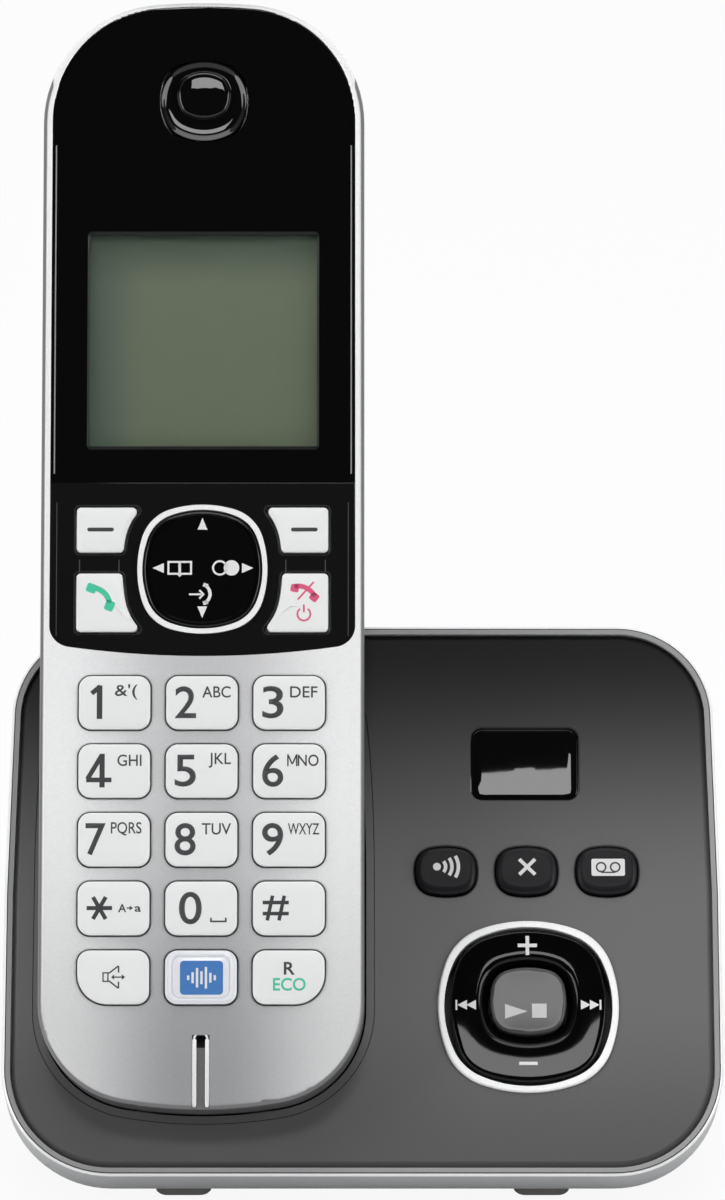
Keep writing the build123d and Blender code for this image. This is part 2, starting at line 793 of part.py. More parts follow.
def handset_back_cover():
    """Back shell with the battery bay, screw bosses and the hands-free speaker's slots."""
    rear_half = block((-far, -far, -far), (far, 2 * far, -parting_depth))
    shell = (handset_envelope(0.0) - handset_envelope(-handset_wall)) & rear_half
    inner = -handset_thickness + handset_wall
    room = handset_envelope(0.0) & rear_half
    ledge = block(
        (-cover_half_width - ledge_side, cover_low - cover_travel - ledge_low, inner),
        (cover_half_width + ledge_side, cover_high + tongue_reach + ledge_high, inner + ledge_thickness),
    )
    bay = block(
        (-bay_half_width - bay_wall, bay_low - bay_wall, inner),
        (bay_half_width + bay_wall, bay_high + bay_wall, -bay_floor + bay_wall),
    )
    shell = shell + (ledge & room) + bay
    for x, y in screw_places:
        boss = post(x, y, back_boss_radius, -boss_joint - press_gap, -far)
        shell = shell + (boss & room)
    opening = block(
        (-cover_half_width - press_gap, cover_low - cover_travel - cover_low_gap, -far),
        (cover_half_width + press_gap, cover_high + press_gap, inner),
    )
    bay_room = block((-bay_half_width, bay_low, -far), (bay_half_width, bay_high, -bay_floor))
    tongue_slot = block(
        (-tongue_half_width - tongue_gap, cover_high - tongue_run, -far),
        (tongue_half_width + tongue_gap, cover_high - tongue_reach, inner + tongue_thickness + press_gap),
    )
    tongue_end = block(
        (-tongue_half_width - tongue_gap, cover_high - tongue_run, inner),
        (
            tongue_half_width + tongue_gap,
            cover_high + tongue_reach + tongue_end_gap,
            inner + tongue_thickness + press_gap,
        ),
    )
    shell = shell - opening - bay_room - tongue_slot - tongue_end
    for x, y in screw_places:
        shell = shell - post(x, y, screw_shank_radius + screw_clearance, far, -far)
        shell = shell - post(x, y, screw_head_radius + head_clearance, -screw_head_depth, -far)
    slots_end = speaker_radius - speaker_edge
    side_slots = int(slots_end / slot_pitch)
    for number in range(-side_slots, side_slots + 1):
        reach = math.sqrt(slots_end ** 2 - (number * slot_pitch) ** 2)
        middle = speaker_y + number * slot_pitch
        low_corner = (-reach, middle - slot_width / 2, -far)
        shell = shell - block(low_corner, (reach, middle + slot_width / 2, -boss_joint))
    for side in (-1, 1):
        shell = shell - charge_block(side, charge_shallow, charge_deep, -far, charge_recess, charge_width)
    return shell


def battery_cover():
    """Cover that slides towards the lower end to free the tongue at its upper edge."""
    outer = -handset_thickness
    plate_top = outer + cover_thickness
    plate = block((-cover_half_width, cover_low, outer), (cover_half_width, cover_high, plate_top))
    inner = outer + handset_wall
    tongue = block(
        (-tongue_half_width, cover_high - tongue_reach, plate_top - tongue_root),
        (tongue_half_width, cover_high, inner + tongue_thickness),
    )
    tip = block(
        (-tongue_half_width, cover_high - tongue_reach, inner + press_gap),
        (tongue_half_width, cover_high + tongue_reach, inner + tongue_thickness),
    )
    for number in range(grip_grooves):
        low = grip_low + number * grip_pitch
        groove = block((-grip_width / 2, low, -far), (grip_width / 2, low + grip_height, outer + grip_depth))
        plate = plate - groove
    return plate + tongue + tip


def battery_cells():
    """Two AAA cells side by side."""
    start = bay_low + contact_plate + spring_room
    cells = []
    for side in (-1, 1):
        x = side * cell_spacing / 2
        can = Pos(x, start + (cell_length - cell_nub) / 2, -cell_depth) * Rot(90, 0, 0)
        can = can * Cylinder(cell_radius, cell_length - cell_nub)
        nub = Pos(x, start + cell_length - cell_nub / 2, -cell_depth) * Rot(90, 0, 0)
        nub = nub * Cylinder(cell_nub_radius, cell_nub)
        cells.append(can + nub)
    return Compound(cells)


def battery_contacts():
    """Spring and plate contacts at the two ends of the bay."""
    pieces = []
    for side in (-1, 1):
        x = side * cell_spacing / 2
        left = x - contact_width / 2
        right = x + contact_width / 2
        plate_end = bay_low + contact_plate
        plate = block((left, bay_low, -contact_deep), (right, plate_end, -contact_shallow))
        spring = Pos(x, plate_end + spring_length / 2, -cell_depth) * Rot(90, 0, 0)
        spring = spring * Cone(spring_wide, spring_narrow, spring_length)
        pieces.append(plate + spring)
        pieces.append(
            block((left, bay_high - contact_plate, -contact_deep), (right, bay_high, -contact_shallow))
        )
    return Compound(pieces)


def handset_charge_contacts():
    """Metal strips set in the handset's lower end."""
    low = charge_recess - charge_plate
    strips = []
    for side in (-1, 1):
        strips.append(charge_block(side, charge_shallow, charge_deep, low, charge_recess, charge_width))
    return Compound(strips)


def handsfree_speaker():
    """Small loudspeaker against the back cover's slots."""
    low = -back_depth(speaker_y + speaker_radius) + handset_wall + press_gap
    return post(0, speaker_y, speaker_radius, low + speaker_thickness, low)


def handset_screws():
    """Four screws from the back cover into the front cover's bosses."""
    screws = []
    for x, y in screw_places:
        shank = post(x, y, screw_shank_radius, -screw_tip_depth, -screw_head_depth)
        head_low = -screw_head_depth - screw_head_thickness
        screws.append(shank + post(x, y, screw_head_radius, -screw_head_depth, head_low))
    return Compound(screws)


# ---------------------------------------------------------------- base: the sloping face
def pocket(grow):
    """The docked handset's form as seen from the base plane, moved out by an amount."""
    return handset_in_base * handset_envelope(grow)


def below(height):
    """Everything under one height of the base plane."""
    return block((-far, -far, -2 * far), (far, 2 * far, height))


def lower_part(limit):
    """Everything below one place up the slope."""
    return block((-far, -far, -far), (far, limit, far))


def base_upper_case():
    """Silver rim and skirt, with the ledge that carries the face panel."""
    frame = layer(base_outline(), 0, -skirt_depth)
    frame = fillet(top_edges(frame, 0), rim_edge)
    ledge_low = -panel_thickness - panel_sunk - ledge_depth
    frame = frame - layer(base_outline(rim_width), far, -panel_thickness - panel_sunk)
    frame = frame - layer(base_outline(ledge_reach), far, ledge_low)
    return frame - layer(base_outline(skirt_wall), ledge_low, -far)


def window_outline(inset=0.0):
    """Message counter's opening."""
    shape = RectangleRounded(window_width - 2 * inset, window_height - 2 * inset, window_corner)
    return Pos(window_x, window_y) * shape


def button_outline(place, grow=0.0):
    """Oval button by place -1, 0 or 1."""
    shape = soft_square(button_width, button_height, button_bulge, button_corner, grow)
    return Pos(button_middle_x + place * button_pitch, button_y) * shape


def ring_outline():
    """Outline of the play ring."""
    return Pos(ring_x, ring_y) * soft_square(ring_width, ring_height, ring_bulge, ring_corner)


def ring_trim_outline(grow=0.0):
    """Outline of the trim round the play ring."""
    shape = soft_square(ring_trim_width, ring_trim_height, ring_trim_bulge, ring_trim_corner, grow)
    return Pos(ring_x, ring_y) * shape


def stop_outline(grow=0.0):
    """Play and stop button in the middle of the ring."""
    shape = soft_square(stop_width, stop_height, stop_bulge, stop_corner, grow)
    return Pos(ring_x, ring_y + stop_up) * shape


def base_face_panel():
    """Graphite panel with openings for the cradle and controls, and posts for the board."""
    low = -panel_thickness - panel_sunk
    panel = layer(base_outline(rim_width + press_gap), -panel_sunk, low)
    panel = chamfer(top_edges(panel, -panel_sunk), panel_bevel)
    panel = panel - (pocket(seat_gap + tray_wall + press_gap) & lower_part(tray_end + press_gap))
    panel = panel - pocket(seat_gap)
    panel = panel - layer(window_outline(), far, -far)
    panel = panel - layer(ring_trim_outline(press_gap), far, -far)
    buttons = [button_outline(place, key_gap) for place in (-1, 0, 1)]
    for opening in buttons:
        panel = panel - layer(opening, far, -far)
    panel = eased(panel, -panel_sunk, buttons + [window_outline()], opening_edge)
    for x, y in post_places:
        panel = panel + post(x, y, post_radius, low, -base_board_top)
        panel = panel - post(x, y, base_shank_radius + screw_play, low - post_cap, -base_board_top)
    return panel


def cradle_tray():
    """Floor and walls of the handset's seat, hung under the panel by a flange."""
    low = -panel_thickness - panel_sunk
    shell = pocket(seat_gap + tray_wall)
    flange_outline = base_outline(ledge_reach + press_gap)
    flange = layer(flange_outline, low, low - tray_flange_thickness)
    flange = flange & pocket(seat_gap + tray_wall + tray_flange)
    tray = (shell + flange) & below(-tray_sunk) & lower_part(tray_end)
    tray = tray & (layer(flange_outline, 0, -far))
    tray = tray - pocket(seat_gap)
    for side in (-1, 1):
        shallow = charge_shallow - charge_slot_gap
        deep = charge_deep + charge_slot_gap
        slot = charge_block(side, shallow, deep, -far, charge_recess, charge_width - charge_leg_side)
        tray = tray - handset_in_base * slot
    return tray


def contact_front(x):
    """Place of the handset's lower end at a distance from its middle line."""
    half = handset_width / 2
    end_radius = (half ** 2 + lower_crown ** 2) / (2 * lower_crown)
    return end_radius - math.sqrt(end_radius ** 2 - x ** 2)


def cradle_contacts():
    """Two spring contacts that stand through the seat's lower wall."""
    wall_back = contact_front(charge_x - charge_width / 2) - seat_gap - tray_wall
    tip = charge_recess - charge_plate - charge_nub_gap
    back = wall_back - charge_nub_length
    leg_low = back - 0.75 * charge_leg_thickness
    leg_high = leg_low + charge_leg_thickness
    leg_end = charge_deep + charge_leg
    springs = []
    for side in (-1, 1):
        nub = charge_block(side, charge_shallow, charge_deep, back, tip, charge_width - charge_nub_side)
        leg = charge_block(side, charge_shallow, leg_end, leg_low, leg_high, charge_width - charge_leg_side)
        springs.append(handset_in_base * (nub + leg))
    return Compound(springs)


def counter_window():
    """Glossy window of the message counter, held by its flange under the panel."""
    low = -panel_thickness - panel_sunk
    lens = layer(window_outline(press_gap), -window_sunk, low)
    flange = layer(window_outline(-window_flange), low, low - window_flange_thickness)
    return lens + flange


def counter_display():
    """Two-digit message counter on the board."""
    high = -panel_thickness - panel_sunk - window_flange_thickness - press_gap
    outline = Pos(window_x, window_y) * Rectangle(counter_width, counter_height)
    return layer(outline, high, -base_board_top)


def base_button(place):
    """Oval button: cap, flange behind the panel and stem down to the mat."""
    low = -panel_thickness - panel_sunk - touch_gap
    cap = layer(button_outline(place), button_rise, low)
    cap = fillet(top_edges(cap, button_rise), button_edge)
    flange = layer(button_outline(place, button_flange), low, low - button_flange_thickness)
    tip = -base_board_top + base_mat_thickness + button_travel + stem_play
    stem = Pos(button_middle_x + place * button_pitch, button_y) * Rectangle(stem_width, stem_width)
    return cap + flange + layer(stem, low, tip)


def play_ring_trim():
    """Bright trim round the play ring, held by a flange under the panel."""
    low = -panel_thickness - panel_sunk
    trim = layer(ring_trim_outline(), ring_trim_rise, low)
    trim = fillet(top_edges(trim, ring_trim_rise), ring_trim_edge)
    trim = trim + layer(ring_trim_outline(ring_trim_flange), low, low - ring_trim_flange_thickness)
    return trim - layer(ring_trim_outline(-ring_trim_wall), far, -far)


def play_ring():
    """Glossy four-way ring with a plunger under each of its four marks."""
    ring = layer(ring_outline(), ring_rise, -ring_depth)
    ring = fillet(top_edges(ring, ring_rise), ring_edge)
    ring = ring - layer(stop_outline(stop_gap), far, -far)
    for x, y in ((0, 1), (0, -1), (1, 0), (-1, 0)):
        place = (ring_x + x * ring_plunger_place, ring_y + y * ring_plunger_place)
        ring = ring + post(*place, ring_plunger_radius, -ring_depth, -ring_plunger_depth)
    return ring


def play_ring_pivot():
    """Loose collar between the play ring and the mat, on which the ring rocks."""
    high = -ring_depth - ring_pivot_gap
    low = -base_board_top + base_mat_thickness + ring_pivot_gap
    collar = post(ring_x, ring_y, ring_pivot_outer, high, low)
    return collar - post(ring_x, ring_y, ring_pivot_inner, far, -far)


def play_stop_button():
    """Button in the middle of the ring, with its stem."""
    button = layer(stop_outline(), stop_rise, -stop_depth)
    button = fillet(top_edges(button, stop_rise), button_edge)
    tip = -base_board_top + base_mat_thickness + button_travel + stem_play
    stem = Pos(ring_x, ring_y) * Rectangle(stem_width, stem_width)
    return button + layer(stem, -stop_depth, tip)


def base_button_mat():
    """Rubber sheet with the domes of the base's buttons, on the board."""
    sheet = RectangleRounded(base_board_width - 2 * base_mat_margin, base_mat_height, base_mat_corner)
    sheet = Pos(base_board_x, button_y - base_mat_drop) * sheet
    mat = layer(sheet, -base_board_top + base_mat_thickness, -base_board_top)
    for x, y in post_places:
        mat = mat - post(x, y, post_radius + press_gap, far, -far)
    return mat


def base_circuit_board():
    """Main board of the base, parallel to its face."""
    outline = RectangleRounded(base_board_width, base_board_height, base_board_corner)
    low = -base_board_top - base_board_thickness
    board = layer(Pos(base_board_x, base_board_y) * outline, -base_board_top, low)
    for x, y in post_places:
        board = board - post(x, y, base_shank_radius + screw_clearance, far, -far)
    return board


# ---------------------------------------------------------------- base: case, floor and rear
def side_room(inset, floor):
    """Room that the base's case may fill, seen from the side, drawn in from the rear walls."""
    crest_back, crest_height = crest()
    lean = math.atan2(base_depth - crest_back, crest_height - knee_height)
    slide = inset / math.cos(lean)
    rise = 40.0
    top = (lip_y + crest_back - slide - rise * math.tan(lean), crest_height + rise)
    points = [
        (lip_y - far, floor),
        (rear_y - inset, floor),
        (rear_y - inset, knee_height),
        top,
        (lip_y - far, crest_height + rise),
    ]
    side_view = make_face(Polyline(*points, points[0]))
    return extrude(Plane.YZ * side_view, far, both=True)


def rear_corner_edges(solid, rear_inset):
    """Edges where the two rear walls meet the sides."""
    chosen = []
    for edge in solid.edges():
        reaches_rear = max(v.Y for v in edge.vertices()) > rear_y - rear_inset - 0.5
        if reaches_rear and abs(edge.tangent_at(0.5).Z) > steep:
            chosen.append(edge)
    return ShapeList(chosen)


def case_room(inset, rear_inset, floor, high=-skirt_depth):
    """Solid wedge between the base plane and the floor, drawn in by two amounts."""
    room = base_plane * layer(base_blank(inset), high, -far)
    room = room & side_room(rear_inset, floor)
    room = fillet(rear_corner_edges(room, rear_inset), rear_edge - rear_inset)
    return room & (base_plane * layer(base_outline(inset), high, -far))


def base_lower_case():
    """Dark rear half of the base: side, top and rear walls, with a lip inside the skirt."""
    outer = case_room(case_inset, 0.0, foot_height)
    inner = case_room(case_inset + case_wall, case_wall, -5.0, far)
    lip = layer(base_outline(skirt_wall + press_gap), -skirt_depth + lap_height, -skirt_depth - lap_root)
    lip = base_plane * (lip - layer(base_outline(skirt_wall + press_gap + lap_wall), far, -far))
    case = outer - inner + lip
    floor_top = foot_height + floor_thickness
    for x, y in base_screw_places:
        boss = post(x, lip_y + y, base_boss_radius, floor_top + base_boss_height, floor_top)
        side = math.copysign(1.0, x)
        rib_ends = sorted((x, side * (base_half_width - case_inset - base_rib_inset)))
        rib = block(
            (rib_ends[0], lip_y + y - base_rib_thickness / 2, floor_top),
            (rib_ends[1], lip_y + y + base_rib_thickness / 2, floor_top + base_boss_height),
        )
        case = case + ((boss + rib) & outer)
        hole_end = floor_top + base_boss_height - base_hole_cap
        case = case - post(x, lip_y + y, base_shank_radius + screw_play, hole_end, 0)
    for x, width, height in socket_list():
        across = width / 2 + socket_window_gap
        along = height / 2 + socket_window_gap
        case = case - block(
            (x - across, rear_y - 1.5 * case_wall, socket_centre() - along),
            (x + across, far, socket_centre() + along),
        )
    for x, y in foot_places:
        case = case - layer(foot_outline(x, y, press_gap), foot_height + foot_sunk, 0)
    return case


def foot_outline(x, y, grow=0.0):
    """Outline of one rubber foot, or of the recess it sits in."""
    shape = RectangleRounded(foot_width + 2 * grow, foot_length + 2 * grow, foot_corner + grow)
    return Pos(x, lip_y + y) * shape


def base_bottom_plate():
    """Floor plate with foot recesses, screw holes and the loudspeaker's slots."""
    floor_top = foot_height + floor_thickness
    room = case_room(case_inset + case_wall + press_gap, case_wall + press_gap, foot_height)
    plate = room & block((-far, -far, 0), (far, far, floor_top))
    for x, y in base_screw_places:
        head_top = foot_height + base_head_thickness
        plate = plate - post(x, lip_y + y, base_head_radius + head_clearance, head_top, 0)
        plate = plate - post(x, lip_y + y, base_shank_radius + screw_clearance, far, -far)
    for x, y in foot_places:
        plate = plate - layer(foot_outline(x, y, press_gap), foot_height + foot_sunk, 0)
    slots_end = base_speaker_radius - base_speaker_edge
    side_slots = int(slots_end / base_slot_pitch)
    for number in range(-side_slots, side_slots + 1):
        reach = math.sqrt(slots_end ** 2 - (number * base_slot_pitch) ** 2)
        place = Pos(base_speaker_x, lip_y + base_speaker_back + number * base_slot_pitch, 0)
        plate = plate - place * Box(2 * reach, base_slot_width, far)
    return plate


def rubber_feet():
    """Four rubber feet in the floor plate's recesses."""
    feet = []
    for x, y in foot_places:
        foot = layer(foot_outline(x, y), foot_height + foot_sunk, 0)
        feet.append(chamfer(top_edges(foot, 0), foot_edge))
    return Compound(feet)


def base_screws():
    """Floor screws, and the screws that hold the board to the panel's posts."""
    screws = []
    floor_top = foot_height + floor_thickness
    for x, y in base_screw_places:
        head_low = foot_height + base_head_sunk
        head_high = foot_height + base_head_thickness
        head = post(x, lip_y + y, base_head_radius, head_high, head_low)
        tip = floor_top + base_boss_height - base_hole_cap - base_tip_gap
        screws.append(head + post(x, lip_y + y, base_shank_radius, tip, head_high - head_overlap))
    low = -base_board_top - base_board_thickness
    for x, y in post_places:
        head = post(x, y, board_head_radius, low, low - board_head_thickness)
        shank = post(x, y, base_shank_radius, low + board_screw_length, low - head_overlap)
        screws.append(base_plane * (head + shank))
    return Compound(screws)


def base_speaker():
    """Loudspeaker that stands face down on the floor plate's slots."""
    floor_top = foot_height + floor_thickness
    place = (base_speaker_x, lip_y + base_speaker_back)
    rim_top = floor_top + base_speaker_rim
    rim = post(*place, base_speaker_radius, rim_top, floor_top)
    return rim + post(*place, base_speaker_radius / 2, floor_top + base_speaker_thickness, rim_top)


def socket_centre():
    """Height of the two rear sockets."""
    return foot_height + floor_thickness + socket_middle


def socket_list():
    """Rear sockets: place across, clear width, clear height."""
    return [
        (line_socket_x, line_socket_width, line_socket_height),
        (power_socket_x, power_socket_width, power_socket_height),
    ]


def line_and_power_jacks():
    """Telephone-line jack and power jack, behind their openings in the rear wall."""
    depths = (line_socket_depth, power_socket_depth)
    wall_inner = rear_y - case_wall
    floor_top = foot_height + floor_thickness
    jacks = []
    for (x, width, height), depth in zip(socket_list(), depths):
        body = block(
            (x - width / 2 - socket_wall, wall_inner - depth, floor_top),
            (x + width / 2 + socket_wall, wall_inner, socket_centre() + height / 2 + socket_wall),
        )
        room = block(
            (x - width / 2, wall_inner - depth + socket_wall, socket_centre() - height / 2),
            (x + width / 2, wall_inner + 1, socket_centre() + height / 2),
        )
        jacks.append(body - room)
    return Compound(jacks)


# ---------------------------------------------------------------- every piece by name
def handset_pieces():
    """Pieces drawn in the handset plane."""
    pieces = {
        "handset_front_cover": handset_front_cover(),
        "handset_back_cover": handset_back_cover(),
        "battery_cover": battery_cover(),
        "screen_fascia": screen_fascia(),
        "key_fascia": key_fascia(),
        "display_lens": display_lens(),
        "lcd_module": lcd_module(),
        "earpiece_insert": earpiece_insert(),
        "earpiece_receiver": earpiece_receiver(),
        "nav_trim": nav_trim(),
        "nav_key": nav_key(),
        "nav_pivot": nav_pivot(),
        "keypad_mat": keypad_mat(),
        "handset_circuit_board": handset_circuit_board(),
        "microphone": microphone(),
        "handsfree_speaker": handsfree_speaker(),
        "battery_cells": battery_cells(),
        "battery_contacts": battery_contacts(),
        "handset_charge_contacts": handset_charge_contacts(),
        "handset_screws": handset_screws(),
    }
    flanges = key_outlines(key_flange)
    for name, outline in key_outlines().items():
        pieces[name] = handset_key(outline, flanges[name])
    return pieces


def face_pieces():
    """Pieces drawn in the base plane."""
    return {
        "base_upper_case": base_upper_case(),
        "base_face_panel": base_face_panel(),
        "cradle_tray": cradle_tray(),
        "cradle_contacts": cradle_contacts(),
        "counter_window": counter_window(),
        "counter_display": counter_display(),
        "locator_button": base_button(-1),
        "erase_button": base_button(0),
        "answer_button": base_button(1),
        "play_ring_trim": play_ring_trim(),
        "play_ring": play_ring(),
        "play_ring_pivot": play_ring_pivot(),
        "play_stop_button": play_stop_button(),
        "base_button_mat": base_button_mat(),
        "base_circuit_board": base_circuit_board(),
    }


def standing_pieces():
    """Pieces drawn upright on the table."""
    return {
        "base_lower_case": base_lower_case(),
        "base_bottom_plate": base_bottom_plate(),
        "rubber_feet": rubber_feet(),
        "base_screws": base_screws(),
        "base_speaker": base_speaker(),
        "line_and_power_jacks": line_and_power_jacks(),
    }


def all_pieces():
    """Every piece where it stands, by node name."""
    pieces = {}
    for name, piece in handset_pieces().items():
        pieces[name] = handset_plane * piece
    for name, piece in face_pieces().items():
        pieces[name] = base_plane * piece
    pieces.update(standing_pieces())
    return pieces


if __name__ == "__main__":
    os.makedirs("parts", exist_ok=True)
    for name, piece in all_pieces().items():
        export_step(piece, f"parts/{name}.step")
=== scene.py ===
"""Finishes a cordless-telephone base with a built-in answering machine and its handset.

Laid out as an add-on: sizes and colours are properties, each group of pieces has an operator,
and one sidebar panel lists them.  Two tilted planes place everything: the handset's face and
the base's face, each with x across, y up the slope and z out of it, in millimetres.
"""
import json
import math

import bpy
from bpy.props import FloatProperty, FloatVectorProperty, PointerProperty
from bpy.types import Operator, Panel, PropertyGroup
from mathutils import Matrix, Vector

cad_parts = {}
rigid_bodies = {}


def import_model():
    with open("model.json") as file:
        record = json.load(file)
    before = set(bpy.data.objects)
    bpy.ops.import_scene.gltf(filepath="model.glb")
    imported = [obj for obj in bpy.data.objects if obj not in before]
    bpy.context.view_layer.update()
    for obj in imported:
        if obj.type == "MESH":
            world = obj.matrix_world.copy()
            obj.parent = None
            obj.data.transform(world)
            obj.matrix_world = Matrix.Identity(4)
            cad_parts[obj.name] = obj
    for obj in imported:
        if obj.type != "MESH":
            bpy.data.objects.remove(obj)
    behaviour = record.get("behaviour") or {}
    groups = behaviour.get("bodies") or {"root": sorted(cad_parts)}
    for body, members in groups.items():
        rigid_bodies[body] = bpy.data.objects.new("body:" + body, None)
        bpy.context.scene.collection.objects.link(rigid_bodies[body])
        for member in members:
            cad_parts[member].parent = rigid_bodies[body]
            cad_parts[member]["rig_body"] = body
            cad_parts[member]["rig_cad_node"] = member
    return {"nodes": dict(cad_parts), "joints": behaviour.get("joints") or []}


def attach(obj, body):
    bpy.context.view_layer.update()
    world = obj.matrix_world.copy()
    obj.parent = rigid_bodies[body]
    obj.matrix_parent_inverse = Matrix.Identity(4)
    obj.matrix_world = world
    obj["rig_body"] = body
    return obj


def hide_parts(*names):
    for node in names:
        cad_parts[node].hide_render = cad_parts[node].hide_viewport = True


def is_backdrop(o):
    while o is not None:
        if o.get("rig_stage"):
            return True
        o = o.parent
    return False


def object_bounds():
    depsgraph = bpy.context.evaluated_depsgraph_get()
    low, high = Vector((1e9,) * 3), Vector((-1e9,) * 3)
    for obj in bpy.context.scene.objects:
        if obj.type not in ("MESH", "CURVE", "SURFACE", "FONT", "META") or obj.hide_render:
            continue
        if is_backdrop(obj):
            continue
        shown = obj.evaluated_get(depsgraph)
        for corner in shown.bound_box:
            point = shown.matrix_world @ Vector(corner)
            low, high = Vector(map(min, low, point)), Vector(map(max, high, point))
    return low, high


bl_info = {
    "name": "Answering machine finish",
    "version": (1, 0, 0),
    "blender": (4, 5, 0),
    "location": "3D View > Sidebar > Answering machine",
    "description": "Finishes the pieces of a telephone base with its handset",
    "category": "Object",
}

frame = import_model()

MM = 0.001
METRES = {"subtype": "DISTANCE", "unit": "LENGTH"}
WHITE = (1.0, 1.0, 1.0)
MERGE = 0.002                                           # points closer than this are one, in millimetres
OUTLINE_MERGE = 0.01
ARC_MERGE = 0.0001
FLAT = 0.3                                              # faces that turn less than this are one, in degrees
NEAR_TOP = 0.02                                         # how near a face, a seam or an end counts as on it
NEAR_SEAM = 0.05
NEAR_END = 0.1
INNER_SHARE = 0.8                                       # an outline's points inside this share are a hole's
CAPITAL = 0.729                                         # a capital's height in text of size 1
PRINT_FROM = 3.0                                        # marks are laid down from this level
GRAIN_GLOSS = 0.15                                      # share by which the roughness varies
FLAKE_GLOSS = 0.1
FLAKE_TILT = 0.01
# each key's digit, its small letters, and the letters' place right of the middle and width
KEY_LETTERS = (
    ("1", "&'(", 1.8, 3.5), ("2", "ABC", 2.25, 4.35), ("3", "DEF", 2.25, 4.2), ("4", "GHI", 2.35, 3.7),
    ("5", "JKL", 2.8, 3.4), ("6", "NO", 2.95, 3.2), ("7", "PQRS", 1.9, 4.7), ("8", "TUV", 2.3, 4.5),
    ("9", "WXYZ", 2.25, 4.8),
)
USUAL_DIGIT = (-2.5, 3.25)                              # middle and width
DIGIT_PLACES = {"7": (-2.8, 3.1), "0": (-1.65, 3.5)}
KEYPAD = [f"key_{letters[0]}" for letters in KEY_LETTERS] + ["key_star", "key_0", "key_hash"]
KEYPAD += ["key_speaker", "key_recall"]
SIDE_KEYS = ["soft_key_left", "soft_key_right", "talk_key", "off_key"]
FLANGE = 0.6                                            # reach of a key's flange past its cap
CROWN = ((0.96, 0.3), (0.88, 0.62), (0.74, 0.86), (0.5, 0.98), (0.2, 1.0))
OVAL_BUTTONS = ["locator_button", "erase_button", "answer_button"]
# share of the flat top and rise: rim, groove and table of the noise key
NOISE_STEPS = (
    (0.98, 0.1), (0.93, 0.14), (0.9, 0.04), (0.87, -0.12), (0.84, -0.12), (0.82, 0.08), (0.78, 0.14),
    (0.6, 0.16), (0.3, 0.16),
)
# step line and dish of the four-way key, dish of the play button
NAV_STEPS = (
    (0.978, 0.0), (0.97, -0.1), (0.962, -0.1), (0.952, 0.0), (0.8, -0.03), (0.5, -0.07), (0.2, -0.09),
)
STOP_STEPS = ((0.96, 0.0), (0.9, -0.01), (0.75, -0.03), (0.5, -0.06), (0.25, -0.075), (0.1, -0.08))
# outward from an oval button's flat top, shift up, loss of height, rise: side, lower band, level top
OVAL_PROFILE = (
    (0.5, 0.0, 0.0, -3.0), (0.5, 0.0, 0.0, -0.5), (0.44, 0.0, 0.0, -0.32), (0.3, 0.0, 0.05, -0.14),
    (0.1, 0.05, 0.15, -0.02), (-0.05, 0.16, 0.35, 0.05), (-0.2, 0.27, 0.5, 0.1), (-0.4, 0.32, 0.5, 0.12),
    (-1.0, 0.34, 0.4, 0.1), (-2.0, 0.34, 0.3, 0.07), (-3.2, 0.34, 0.15, 0.05), (-4.0, 0.34, 0.05, 0.05),
)
# bevel and bow of the counter's window
WINDOW_STEPS = ((0.985, 0.1), (0.97, 0.14), (0.8, 0.145), (0.5, 0.15), (0.2, 0.152))
# share of the way from the ring's outer edge to its hole, and level
RING_PROFILE = (
    (0.0, -4.0), (0.0, -0.1), (0.01, 0.15), (0.025, 0.33), (0.045, 0.44), (0.07, 0.49), (0.1, 0.51),
    (0.18, 0.54), (0.28, 0.567), (0.38, 0.586), (0.46, 0.594), (0.56, 0.595), (0.68, 0.596), (0.71, 0.585),
    (0.75, 0.54), (0.79, 0.44), (0.83, 0.27), (0.87, 0.0), (0.91, -0.35), (0.95, -0.8), (1.0, -1.4),
    (1.0, -4.0),
)
# inward from the earpiece's edge, shift up, level: dish, floor, then the cap
EAR_PROFILE = (
    (0.0, 0.0, 0.0), (0.12, 0.0, -0.02), (0.28, 0.0, -0.09), (0.46, 0.02, -0.2), (0.64, 0.04, -0.32),
    (0.82, 0.07, -0.43), (1.0, 0.12, -0.5), (1.15, 0.17, -0.53), (1.6, 0.35, -0.545), (2.0, 0.58, -0.555),
    (2.3, 0.78, -0.56), (2.5, 0.9, -0.56), (2.6, 0.97, -0.54), (2.66, 1.0, -0.4), (2.72, 1.0, -0.22),
    (2.8, 1.0, -0.06), (2.95, 1.0, 0.08), (3.2, 1.0, 0.16), (3.7, 1.0, 0.21), (4.6, 1.0, 0.25),
    (5.6, 1.0, 0.27), (6.3, 1.0, 0.275),
)
EAR_WALL = -0.3                                         # the dish's side wall ends at this level
# finishes of the nodes that keep their shape
KEPT_SHAPES = (
    ("silver paint", ("handset_front_cover",)),
    ("rim silver", ("base_upper_case",)),
    ("back silver", ("handset_back_cover", "battery_cover")),
    ("gloss black", ("screen_fascia", "key_fascia")),
    ("graphite panel", ("base_face_panel", "cradle_tray")),
    ("case black", ("base_lower_case", "base_bottom_plate", "line_and_power_jacks", "counter_display",
                    "microphone")),
    ("bright ring", ("nav_trim", "play_ring_trim")),
    ("display", ("lcd_module",)),
    ("clear lens", ("display_lens",)),
    ("rubber", ("rubber_feet",)),
    ("silicone", ("keypad_mat", "base_button_mat", "nav_pivot", "play_ring_pivot")),
    ("board", ("handset_circuit_board", "base_circuit_board")),
    ("plated", ("battery_contacts", "handset_charge_contacts", "cradle_contacts")),
    ("zinc", ("handset_screws", "base_screws", "earpiece_receiver", "handsfree_speaker", "base_speaker")),
    ("cell sleeve", ("battery_cells",)),
)
# the lamp that the base's face mirrors: place, what it faces, width and height
CARD = ((0.09, -1.5665, 1.9744), (0, -0.004, 0.059), 0.67, 0.3148)
ROOM_SEAM = 0.35                                        # half the reach of the change of light behind


